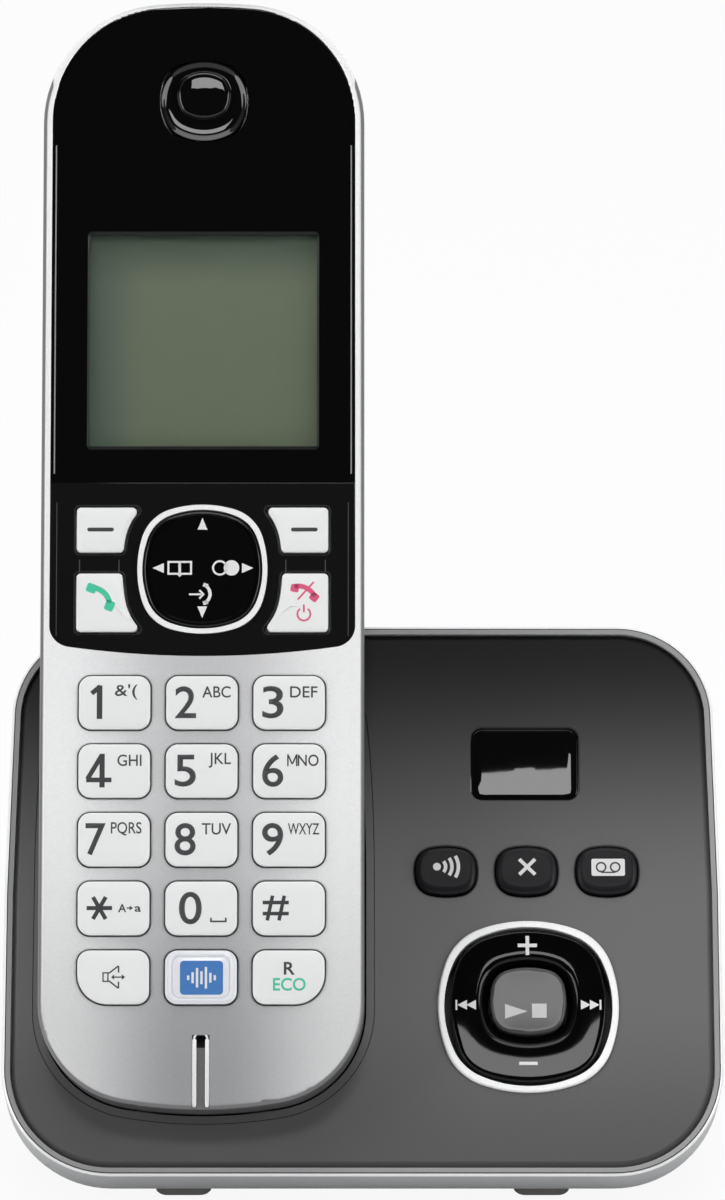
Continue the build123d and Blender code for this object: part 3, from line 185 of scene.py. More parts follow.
# ---------------------------------------------------------------- the two working planes
def joint(name):
    """One joint of the frame."""
    return next(j for j in frame["joints"] if j["name"] == name)


def local_box(turn, node):
    """Lowest and highest corner of a node along a turned set of axes, in metres."""
    points = [turn @ v.co for v in frame["nodes"][node].data.vertices]
    return [Vector([side(p[i] for p in points) for i in range(3)]) for side in (min, max)]


def working_plane(up, inward, node):
    """Matrix of the plane on a node's face: x across from its middle, y up from its lower end."""
    up = Vector(up).normalized()
    out = -Vector(inward).normalized()
    across = up.cross(out)
    turn = Matrix((across, up, out)).to_4x4()
    low, high = local_box(turn, node)
    corner = Vector(((low.x + high.x) / 2, low.y, high.z))
    return turn.inverted() @ Matrix.Translation(corner)


HANDSET = working_plane(
    joint("handset_lift")["axis"], joint("key_5_press")["axis"], "handset_front_cover"
)
BASE = working_plane(
    joint("play_ring_left_right")["axis"], joint("erase_button_press")["axis"], "base_upper_case"
)


def extent(plane, node):
    """Lowest and highest corner of a node on a working plane, in millimetres."""
    low, high = local_box(plane.inverted(), node)
    return low / MM, high / MM


def middle(plane, node):
    """Middle of a node on a working plane, in millimetres."""
    low, high = extent(plane, node)
    return (low + high) / 2


# ---------------------------------------------------------------- working by hand, in code
def box_of(piece):
    """Lowest and highest corner of a piece's own points, as plain lists."""
    points = [v.co for v in piece.data.vertices]
    return [[side(p[i] for p in points) for i in range(3)] for side in (min, max)]


def halfway(low, high):
    """Middle between two corners, as a plain list."""
    return [(a + b) / 2 for a, b in zip(low, high)]


def pick(*objects):
    """Selects these objects alone and makes the first one active."""
    bpy.ops.object.select_all(action="DESELECT")
    for piece in objects:
        piece.select_set(True)
    bpy.context.view_layer.objects.active = objects[0]


def added(add, **settings):
    """Runs an operator that adds an object, with nothing selected, and returns the object."""
    bpy.ops.object.select_all(action="DESELECT")
    add(**settings)
    return bpy.context.view_layer.objects.active


def named(piece, name):
    """Gives a piece and its data a name."""
    piece.name = name
    piece.data.name = name
    return piece


def place(piece, plane=None):
    """Puts a piece drawn in millimetres on a plane, and its place into its mesh."""
    pick(piece)
    if plane is not None:
        piece.matrix_world = plane @ Matrix.Scale(MM, 4) @ piece.matrix_world
    bpy.ops.object.transform_apply(location=True, rotation=True, scale=True)
    return piece


def put(piece, x, y, turn=0.0):
    """Moves a drawn mark to a place, after a turn in degrees."""
    piece.rotation_euler = (0, 0, math.radians(turn))
    piece.location = (x, y, 0)
    return place(piece)


def modify(piece, kind, **settings):
    """Adds a modifier and applies it."""
    pick(piece)
    modifier = piece.modifiers.new(kind.lower(), kind)
    for key, value in settings.items():
        setattr(modifier, key, value)
    bpy.ops.object.modifier_apply(modifier=modifier.name)
    return piece


def select(action, kind=None):
    """Selects or drops everything in edit mode, as points, edges or faces."""
    if kind:
        bpy.ops.mesh.select_mode(type=kind)
    bpy.ops.mesh.select_all(action=action)


def edit(piece):
    """Opens a piece in edit mode with nothing selected."""
    pick(piece)
    bpy.ops.object.mode_set(mode="EDIT")
    select("DESELECT")


def done():
    """Closes edit mode."""
    bpy.ops.object.mode_set(mode="OBJECT")


def face_out():
    """Turns the selected faces outwards."""
    bpy.ops.mesh.normals_make_consistent(inside=False)


def choose_faces(piece, test):
    """Selects, in edit mode, the faces that pass a test, and says how many did."""
    select("DESELECT", "FACE")
    done()
    count = 0
    for face in piece.data.polygons:
        face.select = bool(test(face))
        count += face.select
    bpy.ops.object.mode_set(mode="EDIT")
    return count


def choose_points(piece, test):
    """Selects, in edit mode, the points that pass a test."""
    select("DESELECT", "VERT")
    done()
    for point in piece.data.vertices:
        point.select = bool(test(point.co))
    bpy.ops.object.mode_set(mode="EDIT")


def smooth(piece, angle):
    """Smooths a piece, and keeps edges sharp that turn by more than an angle, in degrees."""
    pick(piece)
    bpy.ops.object.shade_smooth_by_angle(angle=math.radians(angle))
    return piece


def finish(piece, material, body, replaced=()):
    """Gives a finished piece its material, the body that it rides on and what it stands for."""
    piece.data.materials.clear()
    piece.data.materials.append(material)
    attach(piece, body)
    if replaced:
        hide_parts(*replaced)
    return piece


def body_of(node):
    """The body that carries a node."""
    return frame["nodes"][node]["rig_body"]


def copy_of(node, name, plane):
    """Merged copy of a node in the millimetres of its plane, with flat faces made whole."""
    pick(frame["nodes"][node])
    bpy.ops.object.duplicate()
    piece = bpy.context.view_layer.objects.active
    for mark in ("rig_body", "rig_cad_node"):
        del piece[mark]
    piece.parent = None
    named(piece, name)
    piece.matrix_world = Matrix.Scale(1 / MM, 4) @ plane.inverted()
    place(piece)
    edit(piece)
    select("SELECT")
    bpy.ops.mesh.customdata_custom_splitnormals_clear()
    bpy.ops.mesh.remove_doubles(threshold=MERGE)
    bpy.ops.mesh.dissolve_limited(angle_limit=math.radians(FLAT))
    done()
    return piece


def choose_top(piece):
    """Selects, in edit mode, the flat top of a piece."""
    level = box_of(piece)[1][2]
    if not choose_faces(piece, lambda f: f.normal.z > 0.999 and abs(f.center.z - level) < NEAR_TOP):
        raise RuntimeError(f"{piece.name} has no flat top")


def rings(centre, steps):
    """Extrudes what is selected ring by ring: each step is a share of its size and a rise."""
    size, level = 1.0, 0.0
    for share, rise in steps:
        bpy.ops.mesh.extrude_region_move(TRANSFORM_OT_translate={"value": (0, 0, rise - level)})
        bpy.ops.transform.resize(value=(share / size, share / size, 1), center_override=centre)
        size, level = share, rise


def capped(node, name, plane, steps, finish_name, angle=30.0, prepare=None):
    """A node's copy with its flat top raised ring by ring, finished to stand for the node."""
    at = middle(plane, node)
    piece = copy_of(node, name, plane)
    edit(piece)
    if prepare:
        prepare(piece)
    choose_top(piece)
    rings((at.x, at.y, 0), steps)
    done()
    place(piece, plane)
    smooth(piece, angle)
    return finish(piece, surface(finish_name), body_of(node), [node])


def outline_of(node, name, plane):
    """Closed line round a node's flat top, alone in a new piece."""
    piece = copy_of(node, name, plane)
    edit(piece)
    choose_top(piece)
    bpy.ops.mesh.region_to_loop()
    bpy.ops.mesh.duplicate()
    select("INVERT")
    bpy.ops.mesh.delete(type="VERT")
    select("SELECT")
    bpy.ops.mesh.delete(type="ONLY_FACE")
    done()
    low, high = box_of(piece)
    x, y, _ = halfway(low, high)
    half_x, half_y = ((high[i] - low[i]) / 2 for i in (0, 1))
    edit(piece)
    choose_points(piece, lambda p: math.hypot((p.x - x) / half_x, (p.y - y) / half_y) < INNER_SHARE)
    bpy.ops.mesh.delete(type="VERT")
    select("SELECT")
    bpy.ops.mesh.remove_doubles(threshold=OUTLINE_MERGE)
    done()
    return piece


def close_ends(piece):
    """Fills every open end with a face and turns the faces outwards."""
    edit(piece)
    select("DESELECT", "EDGE")
    bpy.ops.mesh.select_non_manifold()
    bpy.ops.mesh.edge_face_add()
    select("SELECT")
    face_out()
    done()
    return piece


def loft(piece, sections):
    """Shapes an outline through sections of (width, height, middle x, middle y, level)."""
    low, high = box_of(piece)
    now = (high[0] - low[0], high[1] - low[1], *halfway(low, high)[:2], low[2])
    edit(piece)
    select("SELECT", "EDGE")
    for number, (width, height, x, y, z) in enumerate(sections):
        shift = (x - now[2], y - now[3], z - now[4])
        if number:
            bpy.ops.mesh.extrude_edges_move(TRANSFORM_OT_translate={"value": shift})
        else:
            bpy.ops.transform.translate(value=shift)
        scale = (width / now[0], height / now[1], 1)
        bpy.ops.transform.resize(value=scale, center_override=(x, y, z))
        now = (width, height, x, y, z)
    done()
    return piece


# ---------------------------------------------------------------- flat marks
def bar(x, y, width, height, turn=0.0):
    """Flat bar with its middle at a place."""
    piece = added(
        bpy.ops.mesh.primitive_plane_add, size=1.0, location=(x, y, 0), rotation=(0, 0, math.radians(turn))
    )
    piece.scale = (width, height, 1)
    return place(piece)


def disc(x, y, radius, sides=32, turn=0.0):
    """Flat disc, or a polygon where it has few sides."""
    return place(added(
        bpy.ops.mesh.primitive_circle_add, vertices=sides, radius=radius, fill_type="NGON",
        location=(x, y, 0), rotation=(0, 0, math.radians(turn)),
    ))


def triangle(x, y, width, height, heading):
    """Flat triangle that points along a heading, in degrees from x; its height lies along that."""
    piece = disc(0, 0, 1.0, sides=3, turn=-90.0)
    low, high = box_of(piece)
    reach = max(abs(v.co.y) for v in piece.data.vertices)
    put(piece, -(low[0] + high[0]) / 2, 0)
    piece.scale = (height / (high[0] - low[0]), width / (2 * reach), 1)
    place(piece)
    return put(piece, x, y, heading)


def arc(x, y, radius, width, start, end, steps=24):
    """Flat strip spun along an arc, angles in degrees from x."""
    piece = added(bpy.ops.mesh.primitive_plane_add, size=1.0, location=(0, 0, 0))
    edit(piece)
    select("SELECT", "VERT")
    bpy.ops.mesh.merge(type="CENTER")
    select("SELECT")
    bpy.ops.transform.translate(value=(radius - width / 2, 0, 0))
    bpy.ops.mesh.extrude_region_move(TRANSFORM_OT_translate={"value": (width, 0, 0)})
    select("SELECT")
    bpy.ops.mesh.spin(
        steps=steps, angle=math.radians(end - start), center=(0, 0, 0), axis=(0, 0, -1), use_auto_merge=True
    )
    select("SELECT")
    bpy.ops.mesh.remove_doubles(threshold=ARC_MERGE)
    done()
    return put(piece, x, y, start)


def rounded_bar(x, y, width, height, radius):
    """Flat rectangle with rounded corners."""
    piece = bar(x, y, width, height)
    edit(piece)
    select("SELECT", "VERT")
    bpy.ops.mesh.bevel(offset=radius, segments=6, affect="VERTICES")
    done()
    return piece


def frame_bar(x, y, width, height, line):
    """Outline of a rectangle, as a flat strip."""
    piece = bar(x, y, width, height)
    edit(piece)
    select("SELECT", "FACE")
    bpy.ops.mesh.inset(thickness=line, depth=0)
    bpy.ops.mesh.delete(type="FACE")
    done()
    return piece


def lettering(text, x, y, height, width, weight=0.0):
    """Printed text with its capitals at a height, its middle at a place and its strokes thickened."""
    piece = added(bpy.ops.object.text_add, location=(0, 0, 0))
    piece.data.body = text
    piece.data.align_x = "CENTER"
    piece.data.size = (height - 2 * weight) / CAPITAL
    piece.data.offset = weight
    piece.data.resolution_u = 6
    bpy.ops.object.convert(target="MESH")
    piece = bpy.context.view_layer.objects.active
    low, high = box_of(piece)
    put(piece, -(low[0] + high[0]) / 2, -(low[1] + high[1]) / 2)
    piece.scale = (width / (high[0] - low[0]), 1, 1)
    return put(piece, x, y)


def printed(name, parts, plane, ink, body, onto=None, level=0.0, thickness=0.02, cuts=1):
    """Joins flat marks and lays them on a surface as a thin film of ink."""
    pick(*parts)
    if len(parts) > 1:
        bpy.ops.object.join()
    piece = named(parts[0], name)
    edit(piece)
    if choose_faces(piece, lambda face: face.normal.z < 0):
        bpy.ops.mesh.flip_normals()
    select("SELECT")
    bpy.ops.mesh.quads_convert_to_tris()
    bpy.ops.mesh.subdivide(number_cuts=cuts)
    done()
    piece.matrix_world = plane @ Matrix.Scale(MM, 4) @ Matrix.Translation((0, 0, level))
    if onto is not None:
        modify(
            piece, "SHRINKWRAP", target=onto, wrap_method="PROJECT", use_project_z=True,
            use_negative_direction=True, use_positive_direction=False,
        )
    place(piece)
    modify(piece, "SOLIDIFY", thickness=thickness * MM, offset=1.0)
    return finish(piece, surface(ink), body)


def lay(node, parts, ink, plane, slot, onto=None, mark="mark", thickness=None, cuts=1, centred=True):
    """Prints marks on a node's finished piece, drawn from the node's middle where they are centred."""
    if centred:
        at = middle(plane, node)
        for part in parts:
            part.location = (at.x, at.y, 0)
            place(part)
    thickness = thickness or bpy.context.scene.machine_keys.ink
    onto = bpy.data.objects[onto or node + "_cap"]
    return printed(
        f"{node}_{mark}", parts, plane, ink, body_of(node), onto, PRINT_FROM, thickness, cuts
    )


# ---------------------------------------------------------------- shader helpers
def feed(tree, target, value):
    """Links a socket to an input, or sets the input to a constant."""
    if isinstance(value, bpy.types.NodeSocket):
        tree.links.new(value, target)
    elif target.type == "RGBA":
        target.default_value = (*value[:3], 1.0)
    else:
        target.default_value = value


def add_node(tree, kind, values=None, **settings):
    """Adds a shader node, sets its properties, and sets or links its inputs."""
    node = tree.nodes.new(kind)
    for key, value in settings.items():
        setattr(node, key, value)
    for key, value in (values or {}).items():
        feed(tree, node.inputs[key], value)
    return node


def place_node(tree):
    """Place on the object, in metres."""
    return add_node(tree, "ShaderNodeTexCoord").outputs["Object"]


def new_group(name, scale, outputs):
    """Empty shader group that takes a place and a scale; returns it, its place, scale and result."""
    group = bpy.data.node_groups.new(name, "ShaderNodeTree")
    group.interface.new_socket("Place", in_out="INPUT", socket_type="NodeSocketVector")
    socket = group.interface.new_socket("Scale", in_out="INPUT", socket_type="NodeSocketFloat")
    socket.default_value = scale
    for label in outputs:
        group.interface.new_socket(label, in_out="OUTPUT", socket_type="NodeSocketFloat")
    source = group.nodes.new("NodeGroupInput")
    return group, source.outputs["Place"], source.outputs["Scale"], group.nodes.new("NodeGroupOutput")


def surface_grain():
    """Shared fine texture of moulded plastic: a height to bump with and an even tone."""
    group = bpy.data.node_groups.get("surface_grain")
    if group:
        return group
    group, where, scale, result = new_group("surface_grain", 3000.0, ("Height", "Tone"))
    noise = "ShaderNodeTexNoise"
    fine = add_node(group, noise, {"Vector": where, "Scale": scale, "Detail": 2.0, "Roughness": 0.6})
    broad = add_node(group, noise, {"Vector": where, "Scale": 60.0, "Detail": 3.0, "Roughness": 0.55})
    feed(group, result.inputs["Height"], fine.outputs["Fac"])
    feed(group, result.inputs["Tone"], broad.outputs["Fac"])
    return group


def metal_flake():
    """Shared sparkle of metallic paint: a tone for each flake and a tilt to its normal."""
    group = bpy.data.node_groups.get("metal_flake")
    if group:
        return group
    group, where, scale, result = new_group("metal_flake", 9000.0, ("Tone", "Height"))
    cells = add_node(group, "ShaderNodeTexVoronoi", {"Vector": where, "Scale": scale, "Randomness": 1.0})
    split = add_node(group, "ShaderNodeSeparateColor", {"Color": cells.outputs["Color"]})
    feed(group, result.inputs["Tone"], split.outputs["Red"])
    feed(group, result.inputs["Height"], split.outputs["Green"])
    return group


def shared(tree, group, where, **values):
    """Adds a shared group at a place and returns its tone and its height."""
    node = add_node(tree, "ShaderNodeGroup", node_tree=group)
    feed(tree, node.inputs["Place"], where)
    for key, value in values.items():
        feed(tree, node.inputs[key], value)
    return node.outputs["Tone"], node.outputs["Height"]


def new_material(name, color, metallic=0.0, **sockets):
    """Material with its shader's own sockets set; returns it, its tree and its shader."""
    material = bpy.data.materials.new(name)
    material.use_nodes = True
    tree = material.node_tree
    shader = tree.nodes["Principled BSDF"]
    feed(tree, shader.inputs["Base Color"], color)
    feed(tree, shader.inputs["Metallic"], metallic)
    for key, value in sockets.items():
        feed(tree, shader.inputs[key.replace("_", " ").title().replace("Ior", "IOR")], value)
    return material, tree, shader


def stretched(tree, tone, low, high):
    """A tone, stretched between two values."""
    values = {"Value": tone, "To Min": low, "To Max": high}
    return add_node(tree, "ShaderNodeMapRange", values).outputs["Result"]


def eased(tree, value, start, end):
    """Share from 0 to 1 between two values in millimetres, eased at both ends."""
    values = {"Value": value, "From Min": start * MM, "From Max": end * MM}
    return add_node(tree, "ShaderNodeMapRange", values, interpolation_type="SMOOTHSTEP").outputs["Result"]


def maths(tree, operation, first, second=None):
    """One sum, of one or two values."""
    values = {0: first} if second is None else {0: first, 1: second}
    return add_node(tree, "ShaderNodeMath", values, operation=operation).outputs["Value"]


def mixed(tree, share, first, second):
    """Mixes two colours, each a constant or a socket, by a share."""
    values = {"Factor": share, "A": first, "B": second}
    return add_node(tree, "ShaderNodeMix", values, data_type="RGBA").outputs["Result"]


def bump(tree, height, distance, strength, shader):
    """Links a height, its distance in millimetres, to the shader's normal."""
    values = {"Height": height, "Strength": strength, "Distance": distance * MM}
    feed(tree, shader.inputs["Normal"], add_node(tree, "ShaderNodeBump", values).outputs["Normal"])


def brightened(color, share):
    """A colour made brighter or darker by a share, up to white."""
    return tuple(min(1.0, part * share) for part in color)


def grained(name, color, roughness, grain=2500.0, depth=0.02, strength=0.3, lift=1.15, **sockets):
    """Moulded or painted plastic: fine grain, and colour and gloss that vary a little."""
    material, tree, shader = new_material(name, color, roughness=roughness, **sockets)
    tone, height = shared(tree, surface_grain(), place_node(tree), Scale=grain)
    shade = mixed(tree, tone, tuple(part / lift for part in color), brightened(color, lift))
    feed(tree, shader.inputs["Base Color"], shade)
    gloss = stretched(tree, tone, roughness * (1 - GRAIN_GLOSS), roughness * (1 + GRAIN_GLOSS))
    feed(tree, shader.inputs["Roughness"], gloss)
    bump(tree, height, depth, strength, shader)
    return material


def flaked(name, color, roughness, metallic=1.0, scale=7000.0, spread=0.18, strength=0.2, **sockets):
    """Metallic paint or bare metal: flakes of differing brightness."""
    material, tree, shader = new_material(name, color, metallic=metallic, roughness=roughness, **sockets)
    where = place_node(tree)
    fleck, height = shared(tree, metal_flake(), where, Scale=scale)
    tone, _ = shared(tree, surface_grain(), where)
    shade = mixed(tree, fleck, brightened(color, 1 - spread), brightened(color, 1 + spread))
    feed(tree, shader.inputs["Base Color"], shade)
    gloss = stretched(tree, tone, roughness * (1 - FLAKE_GLOSS), roughness * (1 + FLAKE_GLOSS))
    feed(tree, shader.inputs["Roughness"], gloss)
    bump(tree, height, FLAKE_TILT, strength, shader)
    return material


def on_plane(tree, plane):
    """Place on the object, place on a working plane, and the latter's three parts, in metres."""
    where = place_node(tree)
    values = {"Vector": where, "Location": plane.to_translation(), "Rotation": plane.to_euler()}
    turned = add_node(tree, "ShaderNodeMapping", values, vector_type="TEXTURE").outputs["Vector"]
    split = add_node(tree, "ShaderNodeSeparateXYZ", {"Vector": turned})
    return where, turned, split.outputs


# ---------------------------------------------------------------- finishes
def silver_finish(look):
    """Silver paint of the handset, with light and shade painted in: a painted highlight towards its sides,
    painted shade towards its lower end, and painted shade on its rounded edge and side wall.
    """
    material, tree, shader = new_material(
        "silver paint", look.silver, 0.06, roughness=0.34, coat_weight=0.2, coat_roughness=0.15
    )
    where, _, part = on_plane(tree, HANDSET)
    high = extent(HANDSET, "handset_front_cover")[1]
    # painted light: paler towards the sides as a painted highlight, greyer towards the lower end as painted
    # shade
    across = maths(tree, "ABSOLUTE", part["X"])
    side = eased(tree, across, *(high.x * share for share in look.silver_painted_highlight_from))
    end = eased(tree, part["Y"], *(high.y * share for share in look.silver_painted_shade_low_from))
    tone = mixed(
        tree, side, mixed(tree, end, look.silver, look.silver_low),
        mixed(tree, end, look.silver_painted_highlight, look.silver_painted_highlight_low),
    )
    # painted shade: the rounded edge along the sides and lower end, and the side wall below the face, are
    # painted darker
    beside = eased(tree, across, *(high.x - inward for inward in look.silver_painted_shade_edge_beside))
    rim = maths(tree, "MAXIMUM", beside, eased(tree, part["Y"], *look.silver_painted_shade_edge_below))
    rim = maths(tree, "MULTIPLY", rim, eased(tree, part["Z"], *look.silver_painted_shade_edge_depth))
    tone = mixed(tree, rim, tone, look.silver_painted_shade_edge)
    tone = mixed(tree, eased(tree, part["Z"], *look.silver_painted_shade_wall_depth), tone, look.silver_painted_shade_wall)
    fleck, height = shared(tree, metal_flake(), where, Scale=7000.0)
    values = {"Factor": 1.0, "A": tone, "B": stretched(tree, fleck, 0.95, 1.03)}
    shade = add_node(tree, "ShaderNodeMix", values, data_type="RGBA", blend_type="MULTIPLY")
    feed(tree, shader.inputs["Base Color"], shade.outputs["Result"])
    grain, _ = shared(tree, surface_grain(), where)
    feed(tree, shader.inputs["Roughness"], stretched(tree, grain, 0.26, 0.34))
    bump(tree, height, 0.008, 0.06, shader)
    return material


def rim_finish(look):
    """Silver of the base's rim, with light painted in: its face painted darker as shade, a painted dark
    reflection line, then a painted highlight on the rounded edge.
    """
    material, tree, shader = new_material("rim silver", look.rim, 0.2, roughness=0.34)
    where, _, part = on_plane(tree, BASE)
    tone = look.rim_face
    # painted light: the face, the dark line and the bright edge are shaded and lit tones of the one silver,
    # set by level
    bands = (
        (look.rim_painted_reflection_line_depth, look.rim_line), (look.rim_painted_highlight_edge_depth, look.rim_painted_highlight_edge),
        (look.rim_depth, look.rim),
    )
    for depth, below in bands:
        tone = mixed(tree, eased(tree, part["Z"], *depth), tone, below)
    feed(tree, shader.inputs["Base Color"], tone)
    grain, height = shared(tree, surface_grain(), where)
    feed(tree, shader.inputs["Roughness"], stretched(tree, grain, 0.3, 0.38))
    bump(tree, height, 0.004, 0.1, shader)
    return material


def graphite_finish(look):
    """Graphite of the base's face, with light painted in: lighter round the play ring as a painted
    reflection of the front card, and painted darker as shade towards its top and its lower end.
    """
    material, tree, shader = new_material(
        "graphite panel", look.graphite, roughness=0.2, specular_ior_level=0.07
    )
    where, _, part = on_plane(tree, BASE)
    high = extent(BASE, "base_face_panel")[1]
    # painted light: a painted reflection round the ring, and painted shade towards the top and the lower end
    top = eased(tree, part["Y"], *(high.y * share for share in look.graphite_painted_shade_top_from))
    end = eased(tree, part["Y"], *(high.y * share for share in look.graphite_painted_shade_low_from))
    tone = mixed(tree, end, look.graphite, look.graphite_low)
    feed(tree, shader.inputs["Base Color"], mixed(tree, top, tone, look.graphite_top))
    grain, height = shared(tree, surface_grain(), where, Scale=4000.0)
    feed(tree, shader.inputs["Roughness"], stretched(tree, grain, 0.17, 0.23))
    bump(tree, height, 0.0006, 0.1, shader)
    return material


def display_finish(look):
    """Grey-green display: faint columns, and painted shade towards its upper and its left edge."""
    material, tree, shader = new_material("display", look.display, roughness=0.25)
    _, turned, part = on_plane(tree, HANDSET)
    low, high = extent(HANDSET, "display_lens")
    # painted shade along the display's upper and left edges
    top = eased(tree, part["Y"], high.y - look.display_painted_shade_reach, high.y)
    left = eased(tree, part["X"], low.x + look.display_painted_shade_reach, low.x)
    tone = mixed(tree, left, look.display, look.display_painted_shade_side)
    feed(tree, shader.inputs["Base Color"], mixed(tree, top, tone, look.display_top))
    values = {"Vector": turned, "Scale": 900.0}
    columns = add_node(tree, "ShaderNodeTexWave", values, bands_direction="X")
    bump(tree, columns.outputs["Fac"], 0.002, 0.1, shader)
    return material


def lens_finish(look):
    """Clear moulded plastic, with a trace of uneven gloss."""
    material, tree, shader = new_material(
        "clear lens", look.clear_lens, roughness=0.02, transmission_weight=1.0, ior=1.49
    )
    tone, _ = shared(tree, surface_grain(), place_node(tree))
    feed(tree, shader.inputs["Roughness"], stretched(tree, tone, 0.02 * 0.6, 0.02 * 1.4))
    return material


OWN_FINISHES = {
    "silver paint": silver_finish, "rim silver": rim_finish, "graphite panel": graphite_finish,
    "display": display_finish, "clear lens": lens_finish,
}
MIRROR = {"grain": 120.0, "depth": 0.003, "strength": 1.0}
CLOUDY = {"grain": 400.0, "depth": 0.0005, "strength": 0.02}
INK = (grained, 0.45, {"grain": 5000.0, "depth": 0.002, "strength": 0.1, "lift": 1.04})
# every other finish: how it is made, its roughness and what differs from the usual
FINISHES = {
    "back silver": (grained, 0.42, {"depth": 0.03, "strength": 0.35}),
    "gloss black": (grained, 0.01, {**MIRROR, "depth": 0.002}),
    "ring black": (grained, 0.03, {**MIRROR, "specular_ior_level": 0.28}),
    "panel black": (grained, 0.03, MIRROR),
    "smoke grey": (grained, 0.14, {**CLOUDY, "specular_ior_level": 0.3}),
    "button black": (grained, 0.36, {"depth": 0.004, "strength": 0.1, "specular_ior_level": 0.2}),
    "case black": (grained, 0.5, {"grain": 2200.0, "depth": 0.04, "strength": 0.5}),
    "key white": (grained, 0.38, {"grain": 3000.0, "depth": 0.006, "strength": 0.15, "lift": 1.02}),
    "pale key": (grained, 0.12, {**CLOUDY, "lift": 1.05, "coat_weight": 0.6, "coat_roughness": 0.03}),
    "rubber": (grained, 0.8, {"grain": 1500.0, "depth": 0.05, "strength": 0.5}),
    "silicone": (grained, 0.6, {"grain": 1500.0}),
    "board": (grained, 0.4, {"grain": 900.0, "lift": 1.3}),
    "cell sleeve": (grained, 0.3, {"grain": 600.0, "depth": 0.01, "strength": 0.2}),
    "bright ring": (
        flaked, 0.3, {"metallic": 0.1, "spread": 0.04, "strength": 0.05, "specular_ior_level": 0.2}
    ),
    "plated": (flaked, 0.25, {"scale": 3000.0, "spread": 0.08}),
    "zinc": (flaked, 0.35, {"scale": 2500.0, "spread": 0.15}),
    "dark ink": INK, "white ink": INK, "teal ink": INK, "red ink": INK, "blue ink": INK, "grey ink": INK,
    # inks of the painted highlight lines on the black panels
    "line grey": INK, "dim line": INK,
}


def surface(name):
    """A finish, built when it is first asked for from the property of its name."""
    if name in bpy.data.materials:
        return bpy.data.materials[name]
    look = bpy.context.scene.machine_colours
    if name in OWN_FINISHES:
        return OWN_FINISHES[name](look)
    make, roughness, settings = FINISHES[name]
    return make(name, getattr(look, name.replace(" ", "_"))[:], roughness, **settings)


def dress(material_name, *nodes):
    """Gives nodes that keep their shape their finish."""
    material = surface(material_name)
    for node in nodes:
        slots = frame["nodes"][node].data.materials
        slots.clear()
        slots.append(material)


# ---------------------------------------------------------------- properties
def colour(label, about, value):
    """A colour in linear light."""
    return FloatVectorProperty(
        name=label, description=about, default=value, subtype="COLOR", size=3, min=0.0, max=1.0
    )


def number(label, about, value, **kind):
    """A value, plain or of a kind that has its own unit."""
    return FloatProperty(name=label, description=about, default=value, **kind)


def length(label, about, value):
    """A size in millimetres."""
    return number(label, about, value, subtype="NONE", min=0.0)


def span(label, about, *ends):
    """Two values that belong together, as shares or in millimetres."""
    return FloatVectorProperty(name=label, description=about, default=ends, size=2, precision=4)


